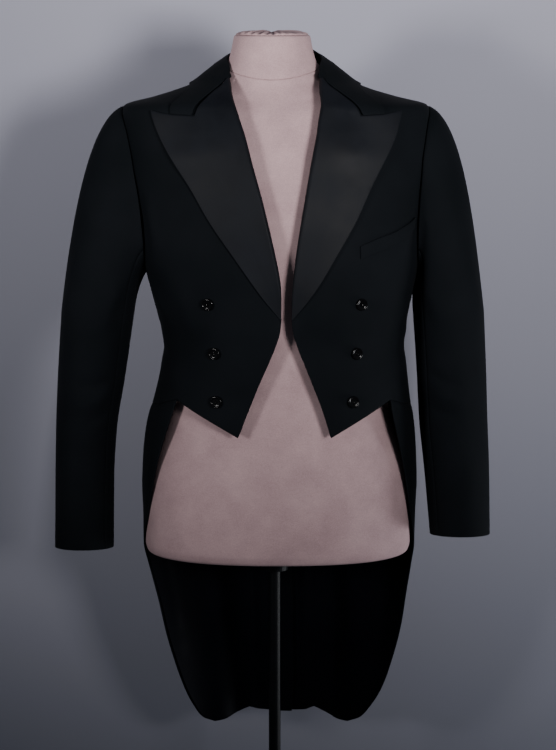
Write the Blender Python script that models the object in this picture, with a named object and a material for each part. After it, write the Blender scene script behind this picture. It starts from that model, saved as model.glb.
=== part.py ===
"""A man's full-dress tailcoat on a limbless dress form with a floor stand.

The coat is a hollow shell of sewn panels. A panel is a grid of points on the coat's own
surface, which a table of level sections gives, and it gets its wall by moving those points
out along the surface. The front of the coat faces -Y, its wearer's left is +X, and the
origin is the centre of the stand base's underside. Sizes are in metres, angles in degrees:
0 is the centre front, 90 the side and 180 the centre back.
"""

import math
from typing import NamedTuple

import bmesh
import bpy
import numpy as np

# Cloth walls and the gaps between pieces
CLOTH = 0.0020
SATIN = 0.0016
LINING = 0.0010
METRES_A_DEGREE = 0.0028
SEAM = 0.0003
LAYER = 0.0006

# Mesh steps shared by pieces that meet
SIDE_ROWS = 7
ARMHOLE_ROWS = 8
ARMPIT_STEPS = 4
NECK_STEPS = 3
SHOULDER_STEPS = 5
HEM_STEPS = 5
WAIST_STEPS = 4
TAIL_ROWS = 14
TAIL_CROWD = 1.3
LINED_ROWS = 9
LAPEL_ROWS = 16
LAPEL_COLUMNS = 7
COLLAR_STEPS = 13
FALL_ROWS = 4

# The stand and the form's hard parts
BASE_RADIUS = 0.19
BASE_HEIGHT = 0.014
POLE_RADIUS = 0.0088
FLANGE_RADIUS = 0.055
FLANGE_HEIGHT = 0.010
FLANGE_NECK = 0.020
FLANGE_DROP = 0.030
BOSS_RADIUS = 0.024
BOSS_HEIGHT = 0.018
FORM_BOTTOM = 0.822
NECK_SEAM = 1.527
NECK_RIM = 1.5795
NECK_DROP = 0.016
DROP_START = 1.450
DROP_FOCUS = 4.0
FORM_SIDES = 32
TORSO_HEIGHTS = (0.822, 0.826, 0.838, 0.864, 0.890, 0.920, 0.950, 0.985, 1.020, 1.055, 1.090,
                 1.120, 1.150, 1.185, 1.220, 1.260, 1.300, 1.335, 1.370, 1.395, 1.420, 1.437,
                 1.450, 1.460, 1.468, 1.475, 1.482, 1.4885, 1.4935, 1.4985, 1.503, 1.508,
                 1.516)
NECK_HEIGHTS = (1.535, 1.545, 1.556, 1.568)

# Round pieces
FRONT_BUTTON = 0.0088
CUFF_BUTTON = 0.0068
BUTTON_HEIGHT = 0.0040
FIRST_CUFF_BUTTON = 0.018
CUFF_BUTTON_STEP = 0.0155

# How linings are drawn in from the edges of the cloth that they line
SKIRT_LINING_IN = 0.0020
TAIL_LINING_IN = 0.0016

# The lapel's roll round the front edge, and how high it stands over the forepart
LAPEL_STAND = 0.0008
LAPEL_CROWN = 0.0030
LAPEL_FOOT = 0.08
LAPEL_FULLNESS = 0.7
LAPEL_SETTLING = 3.0
POINT_REACH = 0.25
POINT_LENGTH = 0.25

# The collar's wall, and where its stand, fold and fall lie off the coat's surface
COLLAR_HALF = 0.0009
STAND_IN = 0.0030
ROLL_IN = 0.0028
FOLD_IN = 0.0006
ROLL_OUT = 0.0036
ROLL_HEIGHT = 0.0035
FALL_OUT = 0.0029
END_OUT = 0.0025
END_SHARE = 0.3
COLLAR_SHIFT = 0.004
SHIFT_TOP = 1.52
SHIFT_DEPTH = 0.05


class Section(NamedTuple):
    """A level section of the coat's inner face, or of the form."""
    height: float
    half_width: float
    front: float
    back: float
    shift: float
    front_shift: float
    power: float


COAT_SECTIONS = [
    Section(0.500, 0.1790, 0.110, 0.133, 0.009, 0.000, 2.2),
    Section(0.600, 0.1840, 0.110, 0.135, 0.013, 0.000, 2.2),
    Section(0.700, 0.1900, 0.115, 0.137, 0.012, 0.000, 2.2),
    Section(0.770, 0.1960, 0.118, 0.139, 0.009, 0.001, 2.2),
    Section(0.838, 0.1990, 0.122, 0.140, 0.0065, 0.003, 2.2),
    Section(0.900, 0.1995, 0.125, 0.138, 0.007, 0.005, 2.2),
    Section(0.964, 0.1975, 0.128, 0.132, 0.0075, 0.007, 2.2),
    Section(1.007, 0.1940, 0.130, 0.124, 0.0085, 0.007, 2.2),
    Section(1.047, 0.1870, 0.1315, 0.113, 0.0105, 0.006, 2.2),
    Section(1.100, 0.1780, 0.1315, 0.104, 0.0135, 0.003, 2.2),
    Section(1.142, 0.1738, 0.133, 0.104, 0.0140, 0.003, 2.2),
    Section(1.175, 0.1803, 0.136, 0.109, 0.0120, 0.005, 2.2),
    Section(1.210, 0.1885, 0.1375, 0.116, 0.0110, 0.006, 2.2),
    Section(1.245, 0.1965, 0.138, 0.122, 0.0100, 0.007, 2.2),
    Section(1.300, 0.2050, 0.137, 0.127, 0.0080, 0.007, 2.2),
    Section(1.357, 0.2140, 0.132, 0.128, 0.0060, 0.007, 2.2),
    Section(1.400, 0.2200, 0.125, 0.124, 0.0040, 0.007, 2.2),
    Section(1.440, 0.2215, 0.115, 0.116, 0.0030, 0.007, 2.2),
    Section(1.464, 0.2210, 0.106, 0.107, 0.0020, 0.006, 2.2),
    Section(1.477, 0.2180, 0.100, 0.101, 0.0020, 0.005, 2.2),
    Section(1.490, 0.1730, 0.092, 0.095, 0.0010, 0.004, 2.15),
    Section(1.500, 0.1400, 0.084, 0.090, 0.0000, 0.003, 2.1),
    Section(1.510, 0.1150, 0.075, 0.086, 0.0000, 0.002, 2.0),
    Section(1.521, 0.0990, 0.066, 0.082, 0.0000, 0.001, 2.0),
    Section(1.533, 0.0835, 0.058, 0.079, 0.0000, 0.000, 2.0),
    Section(1.545, 0.0724, 0.052, 0.0765, 0.0000, 0.000, 2.0),
    Section(1.556, 0.0668, 0.048, 0.0750, -0.001, 0.000, 2.0),
    Section(1.570, 0.0635, 0.045, 0.0740, -0.002, 0.000, 2.0),
]

FORM_SECTIONS = [
    Section(0.822, 0.1880, 0.108, 0.116, 0.0046, 0.0, 2.3),
    Section(0.826, 0.1930, 0.113, 0.121, 0.0046, 0.0, 2.3),
    Section(0.838, 0.1958, 0.117, 0.124, 0.0046, 0.0, 2.3),
    Section(0.890, 0.1952, 0.117, 0.127, 0.0048, 0.0, 2.3),
    Section(0.950, 0.1885, 0.115, 0.122, 0.0050, 0.0, 2.25),
    Section(1.020, 0.1690, 0.112, 0.106, 0.0040, 0.0, 2.2),
    Section(1.090, 0.1540, 0.111, 0.094, 0.0040, 0.0, 2.2),
    Section(1.150, 0.1530, 0.113, 0.094, 0.0040, 0.0, 2.2),
    Section(1.220, 0.1640, 0.119, 0.104, 0.0040, 0.0, 2.2),
    Section(1.300, 0.1770, 0.121, 0.114, 0.0030, 0.0, 2.2),
    Section(1.370, 0.1870, 0.115, 0.118, 0.0020, 0.0, 2.2),
    Section(1.420, 0.1920, 0.1035, 0.112, 0.0010, 0.0, 2.2),
    Section(1.450, 0.1925, 0.0945, 0.104, 0.0000, 0.0, 2.2),
    Section(1.468, 0.1900, 0.088, 0.098, 0.0000, 0.0, 2.2),
    Section(1.480, 0.1830, 0.0835, 0.089, 0.0000, 0.0, 2.0),
    Section(1.4885, 0.1690, 0.0798, 0.082, 0.0005, 0.0, 1.85),
    Section(1.4985, 0.1390, 0.0757, 0.074, 0.0000, 0.0, 1.75),
    Section(1.508, 0.1140, 0.0718, 0.070, -0.001, 0.0, 1.85),
    Section(1.516, 0.0930, 0.0682, 0.067, -0.002, 0.0, 1.95),
    Section(1.527, 0.0765, 0.0640, 0.065, -0.003, 0.0, 2.0),
    Section(1.540, 0.0665, 0.0612, 0.0615, -0.0035, 0.0, 2.0),
    Section(1.556, 0.0600, 0.0587, 0.059, -0.0035, 0.0, 2.0),
    Section(1.5795, 0.0545, 0.056, 0.056, -0.0035, 0.0, 2.0),
]


class Mark(NamedTuple):
    """A point on the coat's surface: how far round it is, and its height."""
    angle: float
    height: float


FRONT_EDGE = [Mark(27.8, 1.0135), Mark(21.5, 1.058), Mark(15.0, 1.098), Mark(9.6, 1.128),
              Mark(5.8, 1.151), Mark(3.8, 1.167), Mark(3.0, 1.185), Mark(3.5, 1.207),
              Mark(5.3, 1.241), Mark(8.2, 1.284), Mark(12.6, 1.336), Mark(19.4, 1.398),
              Mark(26.5, 1.447), Mark(32.5, 1.476), Mark(40.0, 1.498), Mark(50.0, 1.511),
              Mark(61.0, 1.5155)]
FRONT_HEM = [Mark(27.8, 1.0135), Mark(45.0, 1.0385), Mark(62.0, 1.062)]
WAIST_FRONT = [Mark(62.0, 1.062), Mark(80.0, 1.047), Mark(97.0, 1.042)]
WAIST_BACK = [Mark(97.0, 1.042), Mark(130.0, 1.052), Mark(163.0, 1.068)]
SIDE_SEAM = [Mark(97.0, 1.042), Mark(95.5, 1.110), Mark(95.5, 1.170), Mark(97.0, 1.240)]
ARMHOLE_FRONT = [Mark(97.0, 1.240), Mark(84.0, 1.248), Mark(76.5, 1.288), Mark(74.5, 1.340),
                 Mark(75.5, 1.392), Mark(79.5, 1.438), Mark(84.5, 1.464), Mark(90.0, 1.477)]
ARMHOLE_LOW = [Mark(97.0, 1.240), Mark(108.0, 1.257), Mark(116.5, 1.310)]
ARMHOLE_BACK = [Mark(116.5, 1.310), Mark(117.5, 1.370), Mark(112.0, 1.425), Mark(101.0, 1.462),
                Mark(90.0, 1.477)]
BACK_SEAM = [Mark(163.0, 1.068), Mark(158.5, 1.130), Mark(147.0, 1.210), Mark(131.0, 1.275),
             Mark(116.5, 1.310)]
SHOULDER_SEAM = [Mark(90.0, 1.528), Mark(90.0, 1.508), Mark(90.0, 1.495), Mark(90.0, 1.487),
                 Mark(90.0, 1.477)]
NECK_FRONT = [Mark(61.0, 1.5155), Mark(76.0, 1.5235), Mark(90.0, 1.528)]
NECK_BACK = [Mark(180.0, 1.534), Mark(135.0, 1.533), Mark(90.0, 1.528)]
BACK_CENTRE = [Mark(180.0, 1.068), Mark(180.0, 1.534)]
BACK_WAIST = [Mark(180.0, 1.068), Mark(163.0, 1.068)]
TAIL_CENTRE = [Mark(180.0, 0.531), Mark(180.0, 1.068)]
SKIRT_EDGE = [Mark(137.5, 0.5205), Mark(131.0, 0.5285), Mark(125.5, 0.548),
              Mark(119.3, 0.580), Mark(112.3, 0.635), Mark(106.5, 0.690), Mark(102.0, 0.755),
              Mark(95.5, 0.805), Mark(86.0, 0.840), Mark(79.5, 0.872), Mark(75.3, 0.908),
              Mark(72.0, 0.948), Mark(68.5, 0.985), Mark(65.0, 1.022), Mark(62.0, 1.062)]
SKIRT_HEM = [Mark(137.5, 0.5205), Mark(144.0, 0.5225), Mark(151.0, 0.529), Mark(158.8, 0.5385)]
TAIL_SEAM = [Mark(158.8, 0.5385), Mark(160.0, 0.780), Mark(163.0, 1.068)]
TAIL_HEM = [Mark(158.8, 0.5385), Mark(166.0, 0.533), Mark(173.0, 0.531), Mark(180.0, 0.531)]

ROLL_LINE = [Mark(3.0, 1.185), Mark(3.5, 1.207), Mark(5.3, 1.241), Mark(8.2, 1.284),
             Mark(12.6, 1.336), Mark(19.4, 1.398), Mark(26.5, 1.447), Mark(32.5, 1.476),
             Mark(40.0, 1.499), Mark(51.0, 1.516)]
LAPEL_EDGE = [Mark(4.5, 1.1855), Mark(15.0, 1.222), Mark(30.2, 1.282), Mark(40.3, 1.326),
              Mark(48.3, 1.368), Mark(55.6, 1.403), Mark(63.0, 1.438), Mark(69.2, 1.4735)]
LAPEL_TOP = [Mark(51.0, 1.5165), Mark(51.4, 1.492), Mark(51.3, 1.4675), Mark(60.0, 1.4685),
             Mark(69.2, 1.4735)]
BREAK_LINE = [Mark(3.0, 1.185), Mark(4.5, 1.1855)]

COLLAR_FOLD = [Mark(52.0, 1.519), Mark(58.0, 1.529), Mark(68.0, 1.538), Mark(84.0, 1.546),
               Mark(105.0, 1.553), Mark(135.0, 1.560), Mark(180.0, 1.563)]
COLLAR_SEAM = [Mark(56.0, 1.522), Mark(62.0, 1.527), Mark(70.0, 1.531), Mark(84.0, 1.532),
               Mark(105.0, 1.534), Mark(135.0, 1.536), Mark(180.0, 1.537)]
COLLAR_EDGE = [Mark(61.5, 1.475), Mark(62.5, 1.483), Mark(67.0, 1.494), Mark(74.0, 1.503),
               Mark(84.0, 1.5065), Mark(95.0, 1.5075), Mark(115.0, 1.5075), Mark(140.0, 1.507),
               Mark(180.0, 1.507)]
COLLAR_END = [Mark(51.6, 1.517), Mark(52.0, 1.494), Mark(51.9, 1.47), Mark(61.5, 1.475)]

POCKET_LOW = [Mark(41.5, 1.270), Mark(51.0, 1.279), Mark(61.0, 1.289), Mark(71.0, 1.308)]
POCKET_HIGH = [Mark(41.5, 1.2885), Mark(51.0, 1.2985), Mark(61.0, 1.3075), Mark(71.0, 1.3240)]


class RollPoint(NamedTuple):
    """A point of the lapel's roll: how far past the front edge, and how high."""
    reach: float
    rise: float


LAPEL_ROLL = [RollPoint(0.0030, -0.0008), RollPoint(0.0040, 0.0016)]


class RimPoint(NamedTuple):
    """A ring of the neck cap: how far in from the neck's rim, and how high over it."""
    inward: float
    rise: float


CAP_RIM = [RimPoint(0.0022, 0.0003), RimPoint(0.0030, 0.0020), RimPoint(0.0120, 0.0042),
           RimPoint(0.0280, 0.0056), RimPoint(0.0440, 0.0062)]


class ButtonMark(NamedTuple):
    """A button's place on the surface, and the gap that its shank leaves under it."""
    angle: float
    height: float
    shank: float


FRONT_BUTTONS = [ButtonMark(42.5, 1.2055, 0.0003), ButtonMark(41.3, 1.1345, 0.0008),
                 ButtonMark(39.6, 1.0650, 0.0008)]
BACK_BUTTON = ButtonMark(163.0, 1.082, 0.0018)


class Ring(NamedTuple):
    """A ring of a sleeve below the armhole: its middle and its half sizes."""
    height: float
    middle_x: float
    middle_y: float
    half_width: float
    half_depth: float


class Sleeve(NamedTuple):
    """One side's sleeve rings, from the upper arm to the cuff."""
    side: str
    sign: int
    rings: list


SLEEVES = [
    Sleeve("right", -1, [
        Ring(1.180, 0.2585, 0.006, 0.0525, 0.0700), Ring(1.080, 0.2695, 0.004, 0.0483, 0.0640),
        Ring(1.005, 0.2770, -0.004, 0.0437, 0.0580), Ring(0.934, 0.2795, -0.016, 0.0422, 0.0525),
        Ring(0.834, 0.2800, -0.034, 0.0422, 0.0470)]),
    Sleeve("left", 1, [
        Ring(1.180, 0.2545, 0.006, 0.0510, 0.0700), Ring(1.090, 0.2600, 0.004, 0.0500, 0.0645),
        Ring(1.020, 0.2630, -0.003, 0.0493, 0.0590), Ring(0.948, 0.2680, -0.014, 0.0468, 0.0535),
        Ring(0.853, 0.2727, -0.031, 0.0430, 0.0470)]),
]
SLEEVE_ROWS = 14
CAP_ROWS = 7
CUFF_RISE = 0.005
HIND_BUTTONS = 4
FRONT_SEAM = 2
HIND_SEAM = 2 * ARMHOLE_ROWS - 3

# The sleeve head: how it leaves the armhole and how it comes down on the arm
HEAD_FALL = 0.35
HEAD_TUCK = 0.55
HEAD_GAP = 0.0009
HEAD_FULL = 0.0026
HEAD_START = 0.17
HEAD_END = 0.42
HEAD_LEAN = 0.12


def hermite(table, key):
    """Return a row of a table at a key, on smooth curves through its rows."""
    rows = np.array(table, dtype=float)
    keys, values = rows[:, 0], rows[:, 1:]
    key = min(max(key, keys[0]), keys[-1])
    i = int(np.clip(np.searchsorted(keys, key) - 1, 0, len(keys) - 2))
    span = keys[i + 1] - keys[i]
    t = (key - keys[i]) / span
    slopes = np.diff(values, axis=0) / np.diff(keys)[:, None]

    def tangent(j):
        """Slope at a row: the harmonic mean of its neighbours, which never overshoots."""
        if j == 0 or j == len(keys) - 1:
            return slopes[min(j, len(slopes) - 1)]
        a, b = slopes[j - 1], slopes[j]
        same = a * b > 0
        total = np.where(same, a + b, 1.0)
        return np.where(same, 2.0 * a * b / total, 0.0)

    t2, t3 = t * t, t * t * t
    return ((2 * t3 - 3 * t2 + 1) * values[i] + (t3 - 2 * t2 + t) * span * tangent(i)
            + (3 * t2 - 2 * t3) * values[i + 1] + (t3 - t2) * span * tangent(i + 1))


def trace(marks, steps, crowd=1.0):
    """Return points along a smooth curve through marks, closer at its start where crowded."""
    path = np.array(marks, dtype=float)
    scale = np.array([METRES_A_DEGREE, 1.0])
    lengths = np.linalg.norm(np.diff(path * scale, axis=0), axis=1)
    along = np.concatenate([[0.0], np.cumsum(lengths)])
    table = [(a, *p) for a, p in zip(along, path)]
    return np.array([hermite(table, along[-1] * (k / steps) ** crowd) for k in range(steps + 1)])


def surface(sections, angle, height, out=0.0):
    """Return the point of a body at an angle and a height, moved out along the level."""
    half, front, back, shift, front_shift, power = hermite(sections, height)
    turn = math.radians(angle)
    depth = front if math.cos(turn) > 0 else back
    reach = (abs(math.sin(turn)) / half) ** power + (abs(math.cos(turn)) / depth) ** power
    radius = reach ** (-1.0 / power) + out
    slide = shift + front_shift * max(math.cos(turn), 0.0) ** 2
    return np.array([slide + radius * math.sin(turn), -radius * math.cos(turn), height])


def normal(sections, angle, height):
    """Return the outward direction of a body's surface."""
    step_angle, step_height = 0.6, 0.0015
    round_it = (surface(sections, angle + step_angle, height)
                - surface(sections, angle - step_angle, height))
    up_it = (surface(sections, angle, height + step_height)
             - surface(sections, angle, height - step_height))
    n = np.cross(round_it, up_it)
    return n / np.linalg.norm(n)


def girth_table(height, behind=False):
    """Return angles at a height, and the cloth's length round to each from one centre line."""
    half, front, back, _, _, power = hermite(COAT_SECTIONS, height)
    angles = np.linspace(0.0, 180.0, 181)
    turns = np.radians(angles)
    depth = np.where(np.cos(turns) > 0, front, back)
    reach = (np.abs(np.sin(turns)) / half) ** power + (np.abs(np.cos(turns)) / depth) ** power
    radius = reach ** (-1.0 / power)
    path = np.stack([radius * np.sin(turns), -radius * np.cos(turns)], axis=1)
    steps = np.linalg.norm(np.diff(path, axis=0), axis=1)
    lengths = np.concatenate([[0.0], np.cumsum(steps)])
    return angles, lengths - lengths[-1] if behind else lengths


def unrolled(marks, behind):
    """Turn angles and heights into lengths round the body and heights."""
    flat = []
    for angle, height in marks:
        angles, lengths = girth_table(height, behind)
        flat.append((np.interp(angle, angles, lengths), height))
    return np.array(flat)


def coons(bottom, top, low, high, behind=False):
    """Fill a patch between four edges, flat as the cloth lies: lengths round and heights.

    The bottom and top edges run across, the low and high edges run up. Lengths are taken
    from the centre front, or from the centre back for a piece behind.
    """
    bottom, top, low, high = (unrolled(edge, behind) for edge in (bottom, top, low, high))
    rows, columns = len(low), len(bottom)
    grid = np.zeros((rows, columns, 2))
    for j in range(rows):
        v = j / (rows - 1)
        for i in range(columns):
            u = i / (columns - 1)
            corners = ((1 - u) * (1 - v) * bottom[0] + u * (1 - v) * bottom[-1]
                       + (1 - u) * v * top[0] + u * v * top[-1])
            length, height = ((1 - v) * bottom[i] + v * top[i] + (1 - u) * low[j]
                              + u * high[j] - corners)
            angles, lengths = girth_table(height, behind)
            grid[j, i] = np.interp(length, lengths, angles), height
    return grid


def join(*runs):
    """Join runs of points end to end, keeping each shared point once."""
    return np.concatenate([runs[0]] + [run[1:] for run in runs[1:]])


def laid(grid, sign, sections=COAT_SECTIONS):
    """Return points and normals of a patch of angles and heights on one side of the body."""
    points = np.array([[surface(sections, sign * a, h) for a, h in row] for row in grid])
    normals = np.array([[normal(sections, sign * a, h) for a, h in row] for row in grid])
    return points, normals


def inset(points, gap, sides="nsew"):
    """Draw the border of a grid of points in by a gap, so that a seam stays open."""
    drawn = points.copy()
    moves = {"s": (0, 1), "n": (-1, -2)}
    for side, (edge, near) in moves.items():
        if side in sides:
            step = points[near] - points[edge]
            drawn[edge] += gap * step / np.maximum(np.linalg.norm(step, axis=-1), 1e-9)[..., None]
    moves = {"w": (0, 1), "e": (-1, -2)}
    for side, (edge, near) in moves.items():
        if side in sides:
            step = points[:, near] - points[:, edge]
            drawn[:, edge] += gap * step / np.maximum(np.linalg.norm(step, axis=-1),
                                                      1e-9)[..., None]
    return drawn


def grid_normals(points, closed=False):
    """Return unit normals of a grid of points, from its own neighbours."""
    if closed:
        across = np.roll(points, -1, axis=1) - np.roll(points, 1, axis=1)
    else:
        across = np.gradient(points, axis=1)
    up = np.gradient(points, axis=0)
    n = np.cross(across, up)
    return n / np.maximum(np.linalg.norm(n, axis=-1), 1e-12)[..., None]


def add_object(name, vertices, faces, material):
    """Make one closed mesh object with its faces pointing out."""
    mesh = bpy.data.meshes.new(name)
    mesh.from_pydata([tuple(v) for v in vertices], [], faces)
    work = bmesh.new()
    work.from_mesh(mesh)
    bmesh.ops.recalc_face_normals(work, faces=work.faces)
    if work.calc_volume(signed=True) < 0:
        bmesh.ops.reverse_faces(work, faces=work.faces)
    work.to_mesh(mesh)
    work.free()
    mesh.shade_smooth()
    mesh.set_sharp_from_angle(angle=math.radians(40))
    mesh.materials.append(material)
    item = bpy.data.objects.new(name, mesh)
    bpy.context.scene.collection.objects.link(item)
    return item


def wall(name, points, normals, low, high, material):
    """Make a cloth wall between two distances out from an open grid of points."""
    rows, columns = points.shape[:2]
    low = np.broadcast_to(low, (rows, columns))[..., None]
    high = np.broadcast_to(high, (rows, columns))[..., None]
    inner = (points + normals * low).reshape(-1, 3)
    outer = (points + normals * high).reshape(-1, 3)
    count = rows * columns
    faces = []
    for j in range(rows - 1):
        for i in range(columns - 1):
            a = j * columns + i
            b, c, d = a + 1, a + columns + 1, a + columns
            faces += [(a + count, b + count, c + count), (a + count, c + count, d + count)]
            faces += [(c, b, a), (d, c, a)]
    rim = ([i for i in range(columns)]
           + [j * columns + columns - 1 for j in range(1, rows)]
           + [(rows - 1) * columns + i for i in range(columns - 2, -1, -1)]
           + [j * columns for j in range(rows - 2, 0, -1)])
    for a, b in zip(rim, rim[1:] + rim[:1]):
        faces.append((a, b, b + count, a + count))
    return add_object(name, np.concatenate([inner, outer]), faces, material)


def stack(name, rings, material):
    """Make a closed solid from rings of points, bottom to top, with both ends filled."""
    size = len(rings[0])
    vertices = [p for ring in rings for p in ring]
    faces = [tuple(range(size - 1, -1, -1)),
             tuple((len(rings) - 1) * size + i for i in range(size))]
    for k in range(len(rings) - 1):
        for i in range(size):
            a, b = k * size + i, k * size + (i + 1) % size
            faces.append((a, b, b + size, a + size))
    return add_object(name, vertices, faces, material)


def turned(name, profile, sides, material, centre=(0.0, 0.0, 0.0), axis=None):
    """Make a turned solid from a profile of radius and height about an axis."""
    up = np.array(axis if axis is not None else (0.0, 0.0, 1.0), dtype=float)
    up /= np.linalg.norm(up)
    helper = np.array([0.0, 0.0, 1.0]) if abs(up[2]) < 0.9 else np.array([1.0, 0.0, 0.0])
    east = np.cross(helper, up)
    east /= np.linalg.norm(east)
    north = np.cross(up, east)
    rings = []
    for radius, height in profile:
        ring = []
        for k in range(sides):
            t = 2 * math.pi * k / sides
            spot = east * radius * math.cos(t) + north * radius * math.sin(t) + up * height
            ring.append(np.array(centre) + spot)
        rings.append(ring)
    return stack(name, rings, material)


def finish(name, colour, roughness, metallic=0.0, sheen=0.0, coat=0.0):
    """Make a material of one colour, roughness and metallic value."""
    material = bpy.data.materials.new(name)
    material.use_nodes = True
    shader = material.node_tree.nodes["Principled BSDF"]
    shader.inputs["Base Color"].default_value = (*colour, 1.0)
    shader.inputs["Roughness"].default_value = roughness
    shader.inputs["Metallic"].default_value = metallic
    shader.inputs["Sheen Weight"].default_value = sheen
    shader.inputs["Coat Weight"].default_value = coat
    return material


def armhole_loop(sign):
    """Return the armhole seam as a closed loop of angles and heights from the side seam."""
    front = trace(ARMHOLE_FRONT, ARMHOLE_ROWS)
    back = join(trace(ARMHOLE_LOW, ARMPIT_STEPS), trace(ARMHOLE_BACK, ARMHOLE_ROWS))[::-1]
    return [(sign * a, h) for a, h in join(front, back)[:-1]]


def build_front(side, sign, wool):
    """Build a forepart: front edge and roll line, cut-away hem, side seam and armhole."""
    bottom = join(trace(FRONT_HEM, HEM_STEPS), trace(WAIST_FRONT, WAIST_STEPS))
    top_steps = len(bottom) - 1 - SHOULDER_STEPS
    top = join(trace(NECK_FRONT, top_steps), trace(SHOULDER_SEAM, SHOULDER_STEPS))
    edge = trace(FRONT_EDGE, SIDE_ROWS + ARMHOLE_ROWS)
    outer = join(trace(SIDE_SEAM, SIDE_ROWS), trace(ARMHOLE_FRONT, ARMHOLE_ROWS))
    points, normals = laid(coons(bottom, top, edge, outer), sign)
    wall(f"front_{side}", inset(points, SEAM / 2), normals, 0.0, CLOTH, wool)


def build_side_body(side, sign, wool):
    """Build the narrow panel under the arm, between the forepart and the back."""
    bottom = trace(WAIST_BACK, ARMPIT_STEPS)
    top = trace(ARMHOLE_LOW, ARMPIT_STEPS)
    points, normals = laid(coons(bottom, top, trace(SIDE_SEAM, SIDE_ROWS),
                                 trace(BACK_SEAM, SIDE_ROWS), True), sign)
    wall(f"side_body_{side}", inset(points, SEAM / 2), normals, 0.0, CLOTH, wool)


def build_back(side, sign, wool):
    """Build a back: neck and shoulder seam above, one narrow tail piece below the waist."""
    steps = NECK_STEPS + SHOULDER_STEPS
    centre = trace(BACK_CENTRE, SIDE_ROWS + ARMHOLE_ROWS)
    outer = join(trace(BACK_SEAM, SIDE_ROWS), trace(ARMHOLE_BACK, ARMHOLE_ROWS))
    waist = trace(BACK_WAIST, steps)
    top = join(trace(NECK_BACK, NECK_STEPS), trace(SHOULDER_SEAM, SHOULDER_STEPS))
    upper = coons(waist, top, centre, outer, True)
    tail_centre = trace(TAIL_CENTRE, TAIL_ROWS, TAIL_CROWD)
    hem = trace(TAIL_HEM[::-1], steps)
    lower = coons(hem, waist, tail_centre, trace(TAIL_SEAM, TAIL_ROWS, TAIL_CROWD), True)
    points, normals = laid(np.concatenate([lower, upper[1:]]), sign)
    wall(f"back_{side}", inset(points, SEAM / 2), normals, 0.0, CLOTH, wool)


def skirt_grid(sign):
    """Return the skirt's points and normals: waist seam, cut-away edge, hem and tail seam."""
    top = join(trace(WAIST_FRONT, WAIST_STEPS), trace(WAIST_BACK, ARMPIT_STEPS))
    steps = len(top) - 1
    return laid(coons(trace(SKIRT_HEM, steps), top, trace(SKIRT_EDGE, TAIL_ROWS, TAIL_CROWD),
                      trace(TAIL_SEAM, TAIL_ROWS, TAIL_CROWD), True), sign)


def build_skirt(side, sign, wool, satin):
    """Build a skirt and, inside it where the open front shows it, its lining."""
    points, normals = skirt_grid(sign)
    wall(f"skirt_{side}", inset(points, SEAM / 2), normals, 0.0, CLOTH, wool)
    shown = LINED_ROWS + 1
    wall(f"skirt_lining_{side}", inset(points[:shown], SKIRT_LINING_IN), normals[:shown],
         -LINING - LAYER, -LAYER, satin)


def build_tail_lining(side, sign, satin):
    """Build the lining of the narrow back tail piece, below the form."""
    steps = len(TAIL_HEM)
    seam = trace(TAIL_SEAM, TAIL_ROWS, TAIL_CROWD)[:LINED_ROWS + 1]
    hem = trace(TAIL_HEM[::-1], steps)
    centre = trace(TAIL_CENTRE, TAIL_ROWS, TAIL_CROWD)[:LINED_ROWS + 1]
    top = np.linspace(centre[-1], seam[-1], steps + 1)
    points, normals = laid(coons(hem, top, centre, seam, True), sign)
    wall(f"tail_lining_{side}", inset(points, TAIL_LINING_IN), normals, -LINING - LAYER, -LAYER,
         satin)


def build_lapel(side, sign, satin):
    """Build a peaked lapel: satin facing rolled over the front edge and laid on the chest."""
    rows, columns = LAPEL_ROWS, LAPEL_COLUMNS
    grid = coons(trace(BREAK_LINE, columns), trace(LAPEL_TOP, columns),
                 trace(ROLL_LINE, rows), trace(LAPEL_EDGE, rows))
    points, normals = laid(grid, sign)
    outward = points[:, :1] - points[:, 1:2]
    outward /= np.linalg.norm(outward, axis=-1)[..., None]
    share = np.arange(rows + 1)[:, None] / rows
    reaching = np.minimum(POINT_REACH + share / POINT_LENGTH, 1.0)[..., None]
    strips = [points[:, :1] + outward * reach * reaching + normals[:, :1] * rise
              for reach, rise in LAPEL_ROLL]
    across = np.arange(columns + 1)[None, :] / columns
    arch = np.sin(math.pi * np.minimum(share + LAPEL_FOOT, 1.0)) ** LAPEL_FULLNESS
    bulge = LAPEL_CROWN * np.exp(-LAPEL_SETTLING * across) * arch
    base = CLOTH + LAYER + SATIN / 2 + LAPEL_STAND
    sheet = points + normals * (base + bulge)[..., None]
    sheet = np.concatenate(strips + [sheet], axis=1)
    sheet[-1] += np.array([0.0, 0.0, -SEAM])
    n = grid_normals(sheet) * sign
    wall(f"lapel_{side}", sheet, n, -SATIN / 2, SATIN / 2, satin)


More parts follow.
